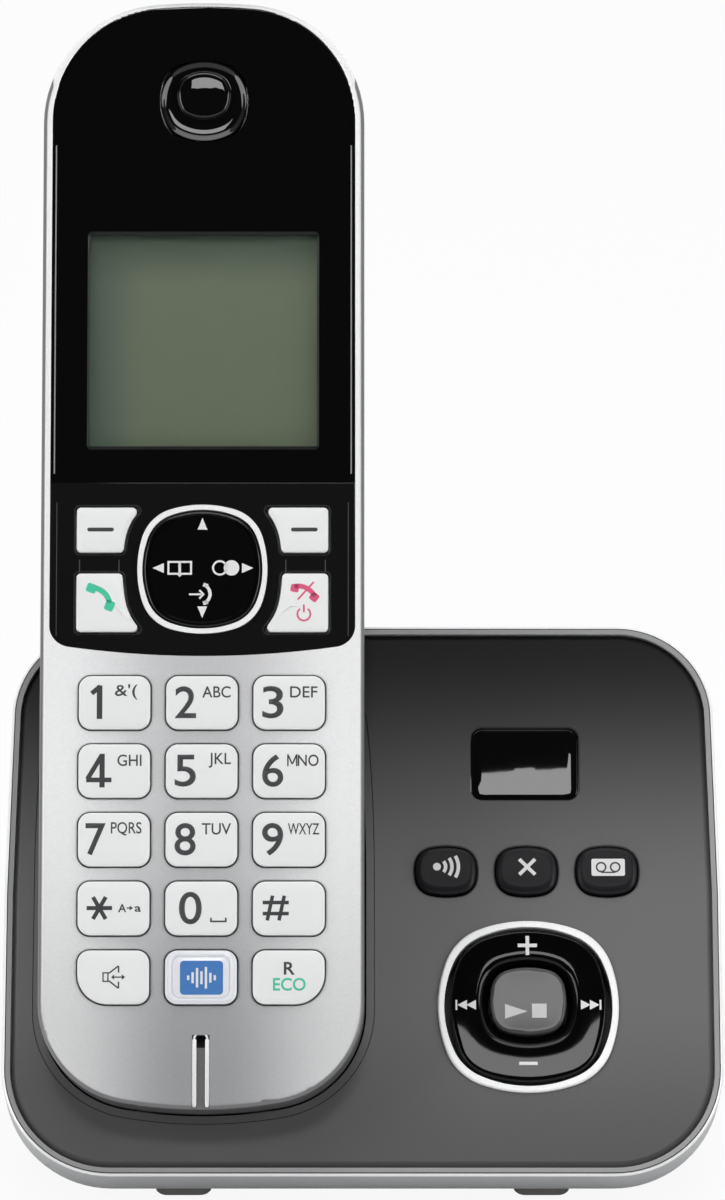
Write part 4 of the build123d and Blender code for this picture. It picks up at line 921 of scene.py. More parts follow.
class MachineColours(PropertyGroup):
    silver: colour("Silver paint", "Handset's front cover, at its middle", (0.60, 0.605, 0.615))
    # painted light: a painted highlight towards the cover's sides and painted shade towards its lower end
    silver_painted_highlight: colour("Silver paint, sides", "Front cover, towards its sides", (0.94, 0.945, 0.95))
    silver_painted_highlight_low: colour("Silver paint, lower sides", "Sides at the lower end", (0.72, 0.725, 0.73))
    silver_low: colour("Silver paint, lower end", "Front cover, towards its lower end", (0.355, 0.36, 0.37))
    # painted shade on the cover's rounded edge and its side wall
    silver_painted_shade_edge: colour("Silver paint, edge", "Rounded edge of the front cover", (0.17, 0.17, 0.175))
    silver_painted_shade_wall: colour("Silver paint, wall", "Side wall of the front cover", (0.09, 0.09, 0.095))
    rim: colour("Rim silver", "Skirt of the base", (0.50, 0.51, 0.52))
    # painted light: the rim's face painted darker as shade, a painted reflection line and a painted
    # highlight on its edge
    rim_face: colour("Rim silver, face", "Flat face of the rim", (0.30, 0.30, 0.305))
    rim_line: colour("Rim silver, line", "Dark line along the rim's rounded edge", (0.05, 0.05, 0.05))
    rim_painted_highlight_edge: colour("Rim silver, edge", "Rounded edge of the rim", (0.92, 0.925, 0.93))
    # where the painted highlight of the sides and the painted shade of the lower end fall
    silver_painted_highlight_from: span("Sides", "Shares of the half width where the sides pale", 0.1, 0.9)
    silver_painted_shade_low_from: span("Lower end", "Shares of the height where the lower end greys", 0.3, 0.02)
    # where the painted shade of the edge and the side wall falls
    silver_painted_shade_edge_beside: span("Edge beside", "The edge's start and end, in from the side", 1.6, 1.4)
    silver_painted_shade_edge_below: span("Edge below", "The edge's start and end, up from below", 14.2, 14.0)
    silver_painted_shade_edge_depth: span("Edge depth", "Levels where the edge darkens", -0.02, -0.14)
    silver_painted_shade_wall_depth: span("Wall depth", "Levels where the wall starts", -0.6, -1.1)
    # levels where the rim's painted reflection line and painted highlight fall, then the skirt
    rim_painted_reflection_line_depth: span("Rim line depth", "Levels where the rim's dark line starts", -0.0005, -0.003)
    rim_painted_highlight_edge_depth: span("Rim edge depth", "Levels where the rim's bright edge starts", -0.025, -0.05)
    rim_depth: span("Skirt depth", "Levels where the skirt starts", -0.3, -0.6)
    # where the graphite's painted shade at the top and the lower end falls
    graphite_painted_shade_top_from: span("Graphite, top from", "Shares of the face's height", 0.48, 0.99)
    graphite_painted_shade_low_from: span("Graphite, lower end from", "Shares of the face's height", 0.34, 0.02)
    # reach of the display's painted shade
    display_painted_shade_reach: length("Display fade", "Reach of the darker edges of the display", 9.0)
    clear_lens: colour("Clear lens", "Window over the display", (0.93, 0.96, 0.94))
    back_silver: colour("Back", "Handset's back cover", (0.10, 0.10, 0.105))
    gloss_black: colour("Gloss black", "Panels, window and four-way key", (0.0015, 0.0015, 0.0018))
    ring_black: colour("Ring black", "Play ring", (0.0015, 0.0015, 0.0018))
    panel_black: colour("Panel black", "Panel round the call keys", (0.006, 0.006, 0.0063))
    smoke_grey: colour("Smoke grey", "Play and stop button", (0.065, 0.065, 0.068))
    # painted light: the lighter tone round the ring is a painted reflection, the top and lower end tones
    # painted shade
    graphite: colour("Graphite", "Face panel of the base, round the ring", (0.148, 0.148, 0.151))
    graphite_top: colour("Graphite, top", "Face panel, towards its upper edge", (0.011, 0.011, 0.0113))
    graphite_low: colour("Graphite, lower end", "Face panel, towards its lower edge", (0.094, 0.094, 0.096))
    button_black: colour("Button black", "Oval buttons", (0.012, 0.012, 0.014))
    case_black: colour("Case black", "Lower case and cradle", (0.018, 0.018, 0.019))
    key_white: colour("Key white", "Keys of the handset", (0.86, 0.87, 0.87))
    pale_key: colour("Pale key", "Noise key round its plate", (0.84, 0.86, 0.90))
    bright_ring: colour("Bright ring", "Trims round the four-way key and play ring", (0.93, 0.935, 0.94))
    display: colour("Display", "Handset's display", (0.335, 0.375, 0.265))
    # painted shade at the display's left side and upper edge
    display_painted_shade_side: colour("Display, side", "Left side of the display", (0.20, 0.27, 0.215))
    display_top: colour("Display, top", "Upper edge of the display", (0.14, 0.19, 0.135))
    rubber: colour("Rubber", "Feet", (0.20, 0.195, 0.19))
    silicone: colour("Silicone", "Key mats", (0.35, 0.36, 0.38))
    board: colour("Board", "Circuit boards", (0.02, 0.14, 0.06))
    plated: colour("Plated", "Contacts", (0.80, 0.72, 0.52))
    zinc: colour("Zinc", "Screws and capsules", (0.50, 0.50, 0.51))
    cell_sleeve: colour("Cell sleeve", "Battery cells", (0.08, 0.25, 0.14))
    dark_ink: colour("Dark ink", "Digits and letters", (0.045, 0.047, 0.05))
    white_ink: colour("White ink", "Marks on black", (0.80, 0.80, 0.80))
    teal_ink: colour("Teal ink", "Talk and saving marks", (0.06, 0.58, 0.36))
    red_ink: colour("Red ink", "Off mark", (0.72, 0.10, 0.22))
    blue_ink: colour("Blue ink", "Noise key's plate", (0.06, 0.20, 0.52))
    # painted highlights: the bright line on the screen panel and the grey lines on the key panel
    line_grey: colour("Line grey", "Line round the screen panel", (0.26, 0.26, 0.265))
    dim_line: colour("Dim line", "Lines beside the call keys", (0.045, 0.045, 0.047))
    grey_ink: colour("Grey ink", "Play and stop mark", (0.62, 0.62, 0.63))


class KeySizes(PropertyGroup):
    swell: length("Swell", "Height that a key's middle swells to", 0.15)
    front_edge: length("Front edge", "Part of a call key's top that its front slope moves", 0.7)
    front_slope: length("Front slope", "Reach of the slope on the front of the call keys", 0.45)
    digit: length("Digit height", "Height of the digits", 5.2)
    digit_weight: length("Digit weight", "Ink added round the digits", 0.06)
    letter: length("Letter height", "Height of the small letters", 1.85)
    letter_weight: length("Letter weight", "Ink added round the small letters", 0.015)
    letter_up: length("Letter rise", "Letters' middle above the key's middle", 1.6)
    ink: length("Ink", "Thickness of printed marks", 0.02)
    nub: length("Nub", "Height of the nub on the middle key", 0.15)


class RingSizes(PropertyGroup):
    hole_width: length("Hole width", "Width of the play ring's hole", 12.7)
    hole_height: length("Hole height", "Height of the play ring's hole", 11.6)
    lean: number("Lean", "Dome's lean up the slope", math.radians(2.0), subtype="ANGLE")


class PanelSizes(PropertyGroup):
    side: length("Side margin", "Silver left beside the panels", 1.55)
    top: length("Top margin", "Silver left above the screen panel", 0.95)
    bevel: length("Bevel", "Reach of the bevel on the panels' edges", 0.3)
    proud: length("Proud", "Panels' rise above the silver", 0.03)
    screen_reach: length("Screen reach", "The screen's opening ends before this, from the middle", 18.5)
    keys_reach: length("Keys' reach", "The keys' openings end before this, from the middle", 20.2)
    screen_end: length("Screen end", "The screen panel's top edge starts this far below it", 7.2)
    keys_end: length("Keys' end", "The key panel's lower edge ends this far above it", 2.2)
    keys_curve: length("Keys' curve", "Height of the key panel's curved lower end", 6.0)
    corner: length("Corner", "Height of the screen panel's rounded end", 21.0)
    # the bright line and the grey lines below are painted highlights where light catches the panels' edges
    line_in: length("Line inset", "Bright line from the handset's side", 2.05)
    line: length("Line", "Width of the bright line", 0.2)
    line_short: length("Line end", "The bright line ends this far above the seam", 0.7)
    groove: length("Groove", "Grey line from the handset's side", 2.5)
    groove_short: length("Groove end", "What the grey lines lack of the key panel's height", 6.0)
    thin: length("Thin line", "Width of the grey lines", 0.13)
    bridges: span("Bridges", "Lines between the keys, from the middle", 12.9, 19.0)
    bridge: length("Bridge", "Length of the lines between the keys", 2.2)
    bridge_width: length("Bridge width", "Width of the lines between the keys", 0.169)
    bridge_y: length("Bridge place", "Middle of these lines above the lower end", 83.8)


class RailSizes(PropertyGroup):
    apart: length("Apart", "Rail's middle from the handset's middle", 1.0)
    width: length("Width", "Width of a rail", 0.66)
    height: length("Height", "Height of a rail", 0.4)
    sunk: length("Sunk", "Rail's top below the face", 0.02)
    start: length("Start", "Rail's lower end above the handset's", 0.3)
    past: length("Past", "Reach past the hole's middle", 0.35)
    arch: length("Arch", "Width of the arch that joins the rails", 0.3)
    run_out: length("Run-out", "Slope on the lower end", 0.7)
    rounding: length("Rounding", "Reach of the rails' rounded edges", 0.14)


class StageSizes(PropertyGroup):
    tilt: number("Camera tilt", "Camera looks down by this angle", math.radians(22.0), subtype="ANGLE")
    camera_back: number("Camera distance", "In front of the face's lower edge", 0.86869, **METRES)
    camera_up: number("Camera height", "Above the face's lower edge", 0.44684, **METRES)
    lens: number("Lens", "Focal length for a 36 mm frame height", 189.12)
    key_power: number("Side lamps", "Power of each side lamp", 5.7)
    top_power: number("Top lamp", "Power of the lamp above", 3.7)
    card_power: number("Front card", "Power of the lamp that the face mirrors", 4.6)
    floor: colour("Floor", "Pale floor", (0.86, 0.86, 0.86))
    floor_white: number("Floor's white", "Share of white for the camera", 0.92)
    sky: number("Sky", "Strength of the even light behind", 0.8)
    room: number("Room", "Strength of the even light in front", 0.04)


# ---------------------------------------------------------------- pieces
class MACHINE_OT_dress_cases(Operator):
    """Finish the cases, panels and everything else that keeps its shape"""

    bl_idname = "machine.dress_cases"
    bl_label = "Cases and panels"

    def execute(self, context):
        for material_name, nodes in KEPT_SHAPES:
            dress(material_name, *nodes)
        return {"FINISHED"}


class MACHINE_OT_make_keys(Operator):
    """Shape the handset's keys with soft crowns"""

    bl_idname = "machine.make_keys"
    bl_label = "Handset keys"

    def execute(self, context):
        size = context.scene.machine_keys
        crown = [(share, size.swell * part) for share, part in CROWN]
        for node in KEYPAD + SIDE_KEYS:
            front = self.front_slope(node, size) if node in SIDE_KEYS else None
            capped(node, node + "_cap", HANDSET, crown, "key white", 40.0, front)
        capped("key_noise", "key_noise_cap", HANDSET, NOISE_STEPS, "pale key")
        return {"FINISHED"}

    @staticmethod
    def front_slope(node, size):
        """A step that slopes the front of a call key: its top's front edge moves back."""
        front = extent(HANDSET, node)[0].y + FLANGE + size.front_edge

        def slope(piece):
            top = box_of(piece)[1][2]
            choose_points(piece, lambda p: p.z > top - NEAR_TOP / 2 and p.y < front)
            bpy.ops.transform.translate(value=(0, size.front_slope, 0))

        return slope


class MACHINE_OT_shape_four_way_key(Operator):
    """Shape the four-way key with its step line and shallow dish"""

    bl_idname = "machine.shape_four_way_key"
    bl_label = "Four-way key"

    def execute(self, context):
        capped("nav_key", "nav_key_cap", HANDSET, NAV_STEPS, "gloss black")
        return {"FINISHED"}


class MACHINE_OT_shape_base_buttons(Operator):
    """Shape the oval buttons and the play and stop button"""

    bl_idname = "machine.shape_base_buttons"
    bl_label = "Base buttons"

    def execute(self, context):
        for node in OVAL_BUTTONS:
            at = middle(BASE, node)
            piece = outline_of(node, node + "_cap", BASE)
            points = [v.co for v in piece.data.vertices]
            width = 2 * max(abs(p.x - at.x) for p in points)
            height = 2 * max(abs(p.y - at.y) for p in points)
            level = points[0].z
            sections = []
            for grow, up, shorter, rise in OVAL_PROFILE:
                across = width + 2 * grow
                sections.append((across, height * across / width - shorter, at.x, at.y + up, level + rise))
            loft(piece, sections)
            close_ends(piece)
            place(piece, BASE)
            smooth(piece, 40.0)
            finish(piece, surface("button black"), body_of(node), [node])
        capped("play_stop_button", "play_stop_cap", BASE, STOP_STEPS, "smoke grey", 40.0)
        return {"FINISHED"}


class MACHINE_OT_shape_play_ring(Operator):
    """Shape the play ring: a dome that falls to its rim and to the button in its middle"""

    bl_idname = "machine.shape_play_ring"
    bl_label = "Play ring"

    def execute(self, context):
        size = context.scene.machine_ring
        low, high = extent(BASE, "play_ring")
        at = (low + high) / 2
        stop = middle(BASE, "play_stop_button")
        outer = (high.x - low.x, high.y - low.y)
        inner = (size.hole_width, size.hole_height)
        sections = []
        for share, level in RING_PROFILE:
            width, height = (a + (b - a) * share for a, b in zip(outer, inner))
            sections.append((width, height, at.x, at.y + (stop.y - at.y) * share, level))
        piece = outline_of("play_ring", "play_ring_dome", BASE)
        loft(piece, sections + sections[:1])
        edit(piece)
        select("SELECT")
        bpy.ops.mesh.remove_doubles(threshold=0.001)
        face_out()
        bpy.ops.transform.rotate(value=size.lean, orient_axis="X", center_override=(at.x, at.y, 0))
        done()
        place(piece, BASE)
        smooth(piece, 45.0)
        finish(piece, surface("ring black"), "play_ring", ["play_ring"])
        return {"FINISHED"}


class MACHINE_OT_shape_earpiece(Operator):
    """Shape the earpiece: a soft dish in the panel with a cap in its middle"""

    bl_idname = "machine.shape_earpiece"
    bl_label = "Earpiece"

    def execute(self, context):
        low, high = extent(HANDSET, "earpiece_insert")
        at = (low + high) / 2
        profile = ((0.0, 0.0, low.z), (0.0, 0.0, EAR_WALL)) + EAR_PROFILE
        sections = [
            (high.x - low.x - 2 * inward, high.y - low.y - 2 * inward, at.x, at.y + up, level)
            for inward, up, level in profile
        ]
        piece = outline_of("earpiece_insert", "earpiece_dish", HANDSET)
        loft(piece, sections)
        close_ends(piece)
        place(piece, HANDSET)
        smooth(piece, 50.0)
        finish(piece, surface("gloss black"), "handset", ["earpiece_insert"])
        return {"FINISHED"}


class MACHINE_OT_shape_panels(Operator):
    """Shape the handset's black panels, which overlap the silver cover a little"""

    bl_idname = "machine.shape_panels"
    bl_label = "Black panels"

    def execute(self, context):
        size = context.scene.machine_panels
        for node, finish_name in (("screen_fascia", "gloss black"), ("key_fascia", "panel black")):
            piece = copy_of(node, node + "_panel", HANDSET)
            self.widen(piece, node, size)
            edit(piece)
            select("SELECT")
            bpy.ops.transform.translate(value=(0, 0, size.proud))
            done()
            place(piece, HANDSET)
            smooth(piece, 20.0)
            modify(piece, "WEIGHTED_NORMAL", keep_sharp=True)
            finish(piece, surface(finish_name), "handset", [node])
        self.lines(size)
        return {"FINISHED"}

    @staticmethod
    def widen(piece, node, size):
        """Moves a panel's outer edge out to its margins and its seam up to its neighbour."""
        low, high = extent(HANDSET, node)
        cover = extent(HANDSET, "handset_front_cover")[1]
        screen = node == "screen_fascia"
        seam, step = (low.y, -size.bevel) if screen else (high.y, size.bevel)

        def outer(p):
            if screen:
                return abs(p.x) > size.screen_reach or p.y > high.y - size.screen_end
            return abs(p.x) > size.keys_reach or p.y < low.y + size.keys_end

        wider = (cover.x - size.side) / (high.x - size.bevel)
        edit(piece)
        choose_points(piece, outer)
        bpy.ops.transform.resize(value=(wider, 1, 1), center_override=(0, 0, 0))
        choose_points(piece, lambda p: abs(p.y - seam) < size.bevel + NEAR_SEAM)
        bpy.ops.transform.translate(value=(0, step, 0))
        if screen:
            start = high.y - size.corner
            longer = (cover.y - size.top - start) / (high.y - size.bevel - start)
            choose_points(piece, lambda p: outer(p) and p.y > start)
            bpy.ops.transform.resize(value=(1, longer, 1), center_override=(0, start, 0))
        else:
            choose_points(piece, lambda p: outer(p) and p.y < low.y + size.keys_curve)
            bpy.ops.transform.translate(value=(0, -size.bevel, 0))
        done()

    @staticmethod
    def lines(size):
        """Painted highlights: a bright line near the edge of the screen panel, and grey lines beside the
        keys and between them, where light catches the panels' edges.
        """
        cover = extent(HANDSET, "handset_front_cover")[1]
        screen_low, screen_high = extent(HANDSET, "screen_fascia")
        keys_low, keys_high = extent(HANDSET, "key_fascia")
        top = screen_high.y - size.corner
        bright, dim = [], []
        # each line is a painted highlight, printed as ink
        for side in (-1, 1):
            x = side * (cover.x - size.line_in)
            reach = top - screen_low.y - 2 * size.line_short
            bright.append(bar(x, (screen_low.y + top) / 2 + size.line_short, size.line, reach))
            x = side * (cover.x - size.groove)
            reach = keys_high.y - keys_low.y - size.groove_short
            dim.append(bar(x, (keys_low.y + keys_high.y) / 2, size.thin, reach))
            for place_x in size.bridges:
                dim.append(bar(side * place_x, size.bridge_y, size.bridge_width, size.bridge))
        printed("screen_panel_line", bright, HANDSET, "line grey", "handset", level=size.proud)
        printed("key_panel_lines", dim, HANDSET, "dim line", "handset", level=size.proud)


class MACHINE_OT_shape_window(Operator):
    """Shape the counter's window: a bevelled, faintly bowed lens"""

    bl_idname = "machine.shape_window"
    bl_label = "Counter window"

    def execute(self, context):
        capped("counter_window", "counter_window_lens", BASE, WINDOW_STEPS, "gloss black")
        return {"FINISHED"}


class MACHINE_OT_lay_microphone_rails(Operator):
    """Lay the two bright rails in the groove below the microphone hole"""

    bl_idname = "machine.lay_microphone_rails"
    bl_label = "Microphone rails"

    def execute(self, context):
        size = context.scene.machine_rails
        top = middle(HANDSET, "microphone").y + size.past
        for side, name in ((-1, "left"), (1, "right")):
            piece = bar(side * size.apart, (size.start + top) / 2, size.width, top - size.start)
            named(piece, f"microphone_rail_{name}")
            edit(piece)
            select("SELECT")
            bpy.ops.mesh.extrude_region_move(TRANSFORM_OT_translate={"value": (0, 0, size.height)})
            choose_points(piece, lambda p: p.z > size.height / 2 and p.y < size.start + NEAR_END)
            bpy.ops.transform.translate(value=(0, size.run_out, 0))
            select("SELECT")
            face_out()
            bpy.ops.transform.translate(value=(0, 0, -size.height - size.sunk))
            done()
            modify(piece, "BEVEL", width=size.rounding, segments=3)
            place(piece, HANDSET)
            smooth(piece, 50.0)
            finish(piece, surface("bright ring"), "handset")
        arch = named(arc(0, top, size.apart, size.arch, 0, 180), "microphone_arch")
        arch.location = (0, 0, -size.sunk)
        place(arch, HANDSET)
        modify(arch, "SOLIDIFY", thickness=size.height * MM, offset=-1.0)
        finish(arch, surface("bright ring"), "handset")
        return {"FINISHED"}


class MACHINE_OT_print_keys(Operator):
    """Print the digits, letters and marks of the handset's keys"""

    bl_idname = "machine.print_keys"
    bl_label = "Key printing"

    def execute(self, context):
        size = context.scene.machine_keys
        for digit, small, right, width in KEY_LETTERS:
            large = {"1": self.one, "4": self.four}.get(digit)
            large = large(size) if large else [self.numeral(digit, size)]
            note = [lettering(small, right, size.letter_up, size.letter, width, size.letter_weight)]
            if digit == "6":
                note += self.capital_m(0.5, size)
            self.on_key(f"key_{digit}", large + note)
        self.on_key("key_5", [disc(0.3, -0.1, 0.3)], "key white", mark="nub", thickness=size.nub)
        self.on_key("key_star", self.star() + self.case_marks())
        self.on_key("key_0", [self.numeral("0", size)] + self.space_mark())
        self.on_key("key_hash", self.hash_mark())
        self.on_key("key_speaker", self.loudspeaker())
        self.on_key("key_recall", [lettering("R", 0.1, 1.35, 2.1, 1.7, 0.05)])
        self.on_key("key_recall", [lettering("ECO", 0.1, -1.1, 2.05, 5.0, 0.04)], "teal ink", mark="saving")
        for side, node in ((-1, "soft_key_left"), (1, "soft_key_right")):
            self.on_key(node, [rounded_bar(side * 15.75, 89.5, 4.1, 0.6, 0.29)], centred=False)
        plate = self.on_key("key_noise", [rounded_bar(0.1, -0.1, 6.6, 5.2, 0.6)], "blue ink", mark="plate")
        self.on_key("key_noise", self.wave(), "white ink", mark="wave", onto=plate.name)
        self.on_key("talk_key", self.receiver(-15.7, 79.0), "teal ink", centred=False)
        self.on_key("off_key", self.receiver_down(15.8, 79.9), "red ink", centred=False)
        return {"FINISHED"}

    @staticmethod
    def on_key(node, parts, ink="dark ink", **settings):
        """Prints marks on a key of the handset."""
        return lay(node, parts, ink, HANDSET, "key_white", **settings)

    @staticmethod
    def numeral(digit, size):
        """A digit of the built-in font, at its own place on its key."""
        x, width = DIGIT_PLACES.get(digit, USUAL_DIGIT)
        return lettering(digit, x, 0, size.digit, width, size.digit_weight)

    @staticmethod
    def one(size):
        """Digit one: a stem with a flag at its upper left."""
        half = size.digit / 2
        return [bar(-2.3, 0, 0.85, size.digit), bar(-2.85, half - 0.68, 1.75, 0.72, 40)]

    @staticmethod
    def four(size):
        """Digit four: a stem, a crossbar and a slope between them."""
        half = size.digit / 2
        slope = math.degrees(math.atan2(0.71 * size.digit, 2.2))
        parts = [bar(-1.85, 0, 0.8, size.digit), bar(-2.35, 0.26 - half + 0.9, 3.9, 0.72)]
        return parts + [bar(-3.05, 0.45, 4.15, 0.72, slope)]

    @staticmethod
    def capital_m(x, size):
        """Capital M: two stems and a notch between them."""
        y, height, line = size.letter_up, size.letter, 0.22
        parts = [bar(x + side * 0.68, y, line, height) for side in (-1, 1)]
        return parts + [bar(x + side * 0.33, y + 0.12, 1.5, line, side * 66) for side in (-1, 1)]

    @staticmethod
    def case_marks():
        """Small and capital letter with an arrow between them."""
        letters = [lettering("A", 1.35, 0, 1.35, 1.25, 0.03), lettering("a", 3.75, -0.15, 1.3, 0.95, 0.03)]
        return letters + [bar(2.3, 0, 0.5, 0.2), triangle(2.75, 0, 0.75, 0.5, 0)]

    @staticmethod
    def space_mark():
        """Open box that stands for a space: a floor and two short ends."""
        x, line = 2.65, 0.26
        return [bar(x, -2.05, 2.5, line)] + [bar(x + side * 1.14, -1.82, line, 0.65) for side in (-1, 1)]

    @staticmethod
    def wave():
        """Plain sound wave: bars that rise and fall."""
        heights = (0.7, 1.7, 3.0, 2.0, 3.3, 1.5, 0.8)
        return [bar(0.1 + (number - 3) * 0.68, -0.1, 0.36, height) for number, height in enumerate(heights)]

    @staticmethod
    def star():
        """Star of three crossed bars."""
        return [bar(-2.15, 0, 3.9, 0.62, turn) for turn in (0, 60, 120)]

    @staticmethod
    def hash_mark():
        """Two level bars across two leaning ones."""
        level = [bar(-2.0, y, 4.0, 0.55) for y in (-0.85, 0.85)]
        return level + [bar(-2.0 + x, 0, 0.55, 3.9, -12) for x in (-0.9, 0.9)]

    @staticmethod
    def loudspeaker():
        """Loudspeaker's box and horn with an arrow through them."""
        box = [frame_bar(-1.15, 0, 0.95, 1.5, 0.2)]
        horn = [bar(0.1, side * 1.15, 1.85, 0.22, side * 38) for side in (-1, 1)]
        end = [bar(0.85, side * 1.2, 0.22, 1.0) for side in (-1, 1)]
        arrow = [bar(0.75, 0, 1.1, 0.18), triangle(1.6, 0, 0.8, 0.55, 0), triangle(-0.05, 0, 0.8, 0.45, 180)]
        return box + horn + end + arrow

    @staticmethod
    def cup(x, y, width, height, turn):
        """Rounded end of a receiver."""
        return put(rounded_bar(0, 0, width, height, 0.3), x, y, turn)

    def receiver(self, x, y):
        """Slanted receiver: a bowed grip with a cup at each end."""
        grip = arc(x - 1.35, y - 1.35, 2.75, 0.85, 8, 82)
        return [grip, self.cup(x - 1.4, y + 1.35, 1.55, 1.4, -20), self.cup(x + 1.4, y - 1.4, 1.4, 1.6, -22)]

    def receiver_down(self, x, y):
        """Receiver struck out by a bar, above a power sign."""
        parts = [arc(x - 1.05, y - 2.17, 2.96, 0.75, 28, 100)]
        parts += [self.cup(x - 1.5, y + 0.45, 1.3, 1.2, -12), self.cup(x + 1.5, y - 0.95, 1.3, 1.3, -38)]
        parts += [bar(x + 0.2, y + 0.05, 3.7, 0.28, 48)]
        return parts + [arc(x - 0.1, y - 3.6, 1.0, 0.28, 125, 415), bar(x - 0.1, y - 2.7, 0.28, 1.2)]


class MACHINE_OT_print_controls(Operator):
    """Print the marks of the four-way key, the oval buttons, the ring and the play button"""

    bl_idname = "machine.print_controls"
    bl_label = "Control printing"

    def execute(self, context):
        ink = context.scene.machine_keys.ink
        lay("nav_key", self.four_way(), "white ink", HANDSET, "black_gloss")
        low, high = extent(HANDSET, "display_lens")
        border = [bar(0, y, high.x - low.x, 0.5) for y in (low.y + 0.25, high.y - 0.25)]
        printed("screen_border", border, HANDSET, "button black", "handset", level=high.z)
        self.on_base("locator_button", self.waves())
        self.on_base("erase_button", [bar(0.12, 0.55, 3.5, 0.55, turn) for turn in (45, -45)])
        self.on_base("answer_button", [rounded_bar(0.19, 0.47, 5.24, 2.75, 0.3)], mark="shell")
        self.on_base("answer_button", self.reels(), "dark ink", onto="answer_button_shell")
        self.on_base("play_ring", self.ring_marks(), onto="play_ring_dome", thickness=2.5 * ink, cuts=4)
        start = [triangle(-1.9, -1.7, 2.35, 3.5, 0), bar(1.7, -1.6, 2.27, 2.26)]
        self.on_base("play_stop_button", start, "grey ink", onto="play_stop_cap")
        return {"FINISHED"}

    @staticmethod
    def on_base(node, parts, ink="white ink", **settings):
        """Prints marks on a control of the base."""
        return lay(node, parts, ink, BASE, "black_gloss", **settings)

    @staticmethod
    def four_way():
        """Arrow tips, and the book, redial disc and receiver signs between them."""
        parts = [triangle(0, 7.08, 1.5, 1.85, 90), triangle(0, -6.74, 1.5, 1.8, -90)]
        parts += [triangle(-6.83, 0.15, 1.55, 1.76, 180), triangle(7.0, 0.15, 1.55, 1.76, 0)]
        parts += [frame_bar(-3.5 + side * 0.9, 0.18, 2.0, 2.15, 0.3) for side in (-1, 1)]
        parts.append(triangle(-3.5, -1.05, 0.8, 0.4, -90))
        parts += [arc(2.7, 0.18, 1.05, 0.3, 0, 360, 36), disc(4.5, 0.18, 1.2)]
        parts.append(bar(-1.1, -3.95, 1.9, 0.28))
        parts += [bar(-0.1, -3.95 - side * 0.3, 1.0, 0.28, side * 45) for side in (-1, 1)]
        parts.append(arc(-0.35, -3.9, 1.55, 0.5, -62, 62))
        return parts + [bar(0.5, -2.55, 0.75, 0.6, -20), bar(0.5, -5.25, 0.75, 0.6, 20)]

    @staticmethod
    def waves():
        """A dot that sends out three waves."""
        x, y = -1.4, 0.58
        strips = ((1.35, 40), (2.35, 36), (3.35, 31))
        return [disc(x, y, 0.62)] + [arc(x, y, radius, 0.55, -reach, reach, 16) for radius, reach in strips]

    @staticmethod
    def reels():
        """Two reels of a tape cassette and the tape that runs between them."""
        parts = [arc(0.19 + side * 1.1, 0.5, 0.72, 0.26, 0, 360, 28) for side in (-1, 1)]
        return parts + [bar(0.19, -0.35, 2.2, 0.22)]

    @staticmethod
    def ring_marks():
        """Plus and minus above and below, and the skip marks at the sides."""
        parts = [bar(-0.09, 9.73, 3.0, 0.55), bar(-0.09, 9.73, 0.55, 3.1), bar(-0.07, -9.24, 2.87, 0.5)]
        for side, heading in ((-1, 180), (1, 0)):
            parts += [triangle(side * reach, 0.15, 1.56, 1.5, heading) for reach in (8.9, 10.3)]
            parts.append(bar(side * 11.2, 0.15, 0.28, 1.6))
        return parts


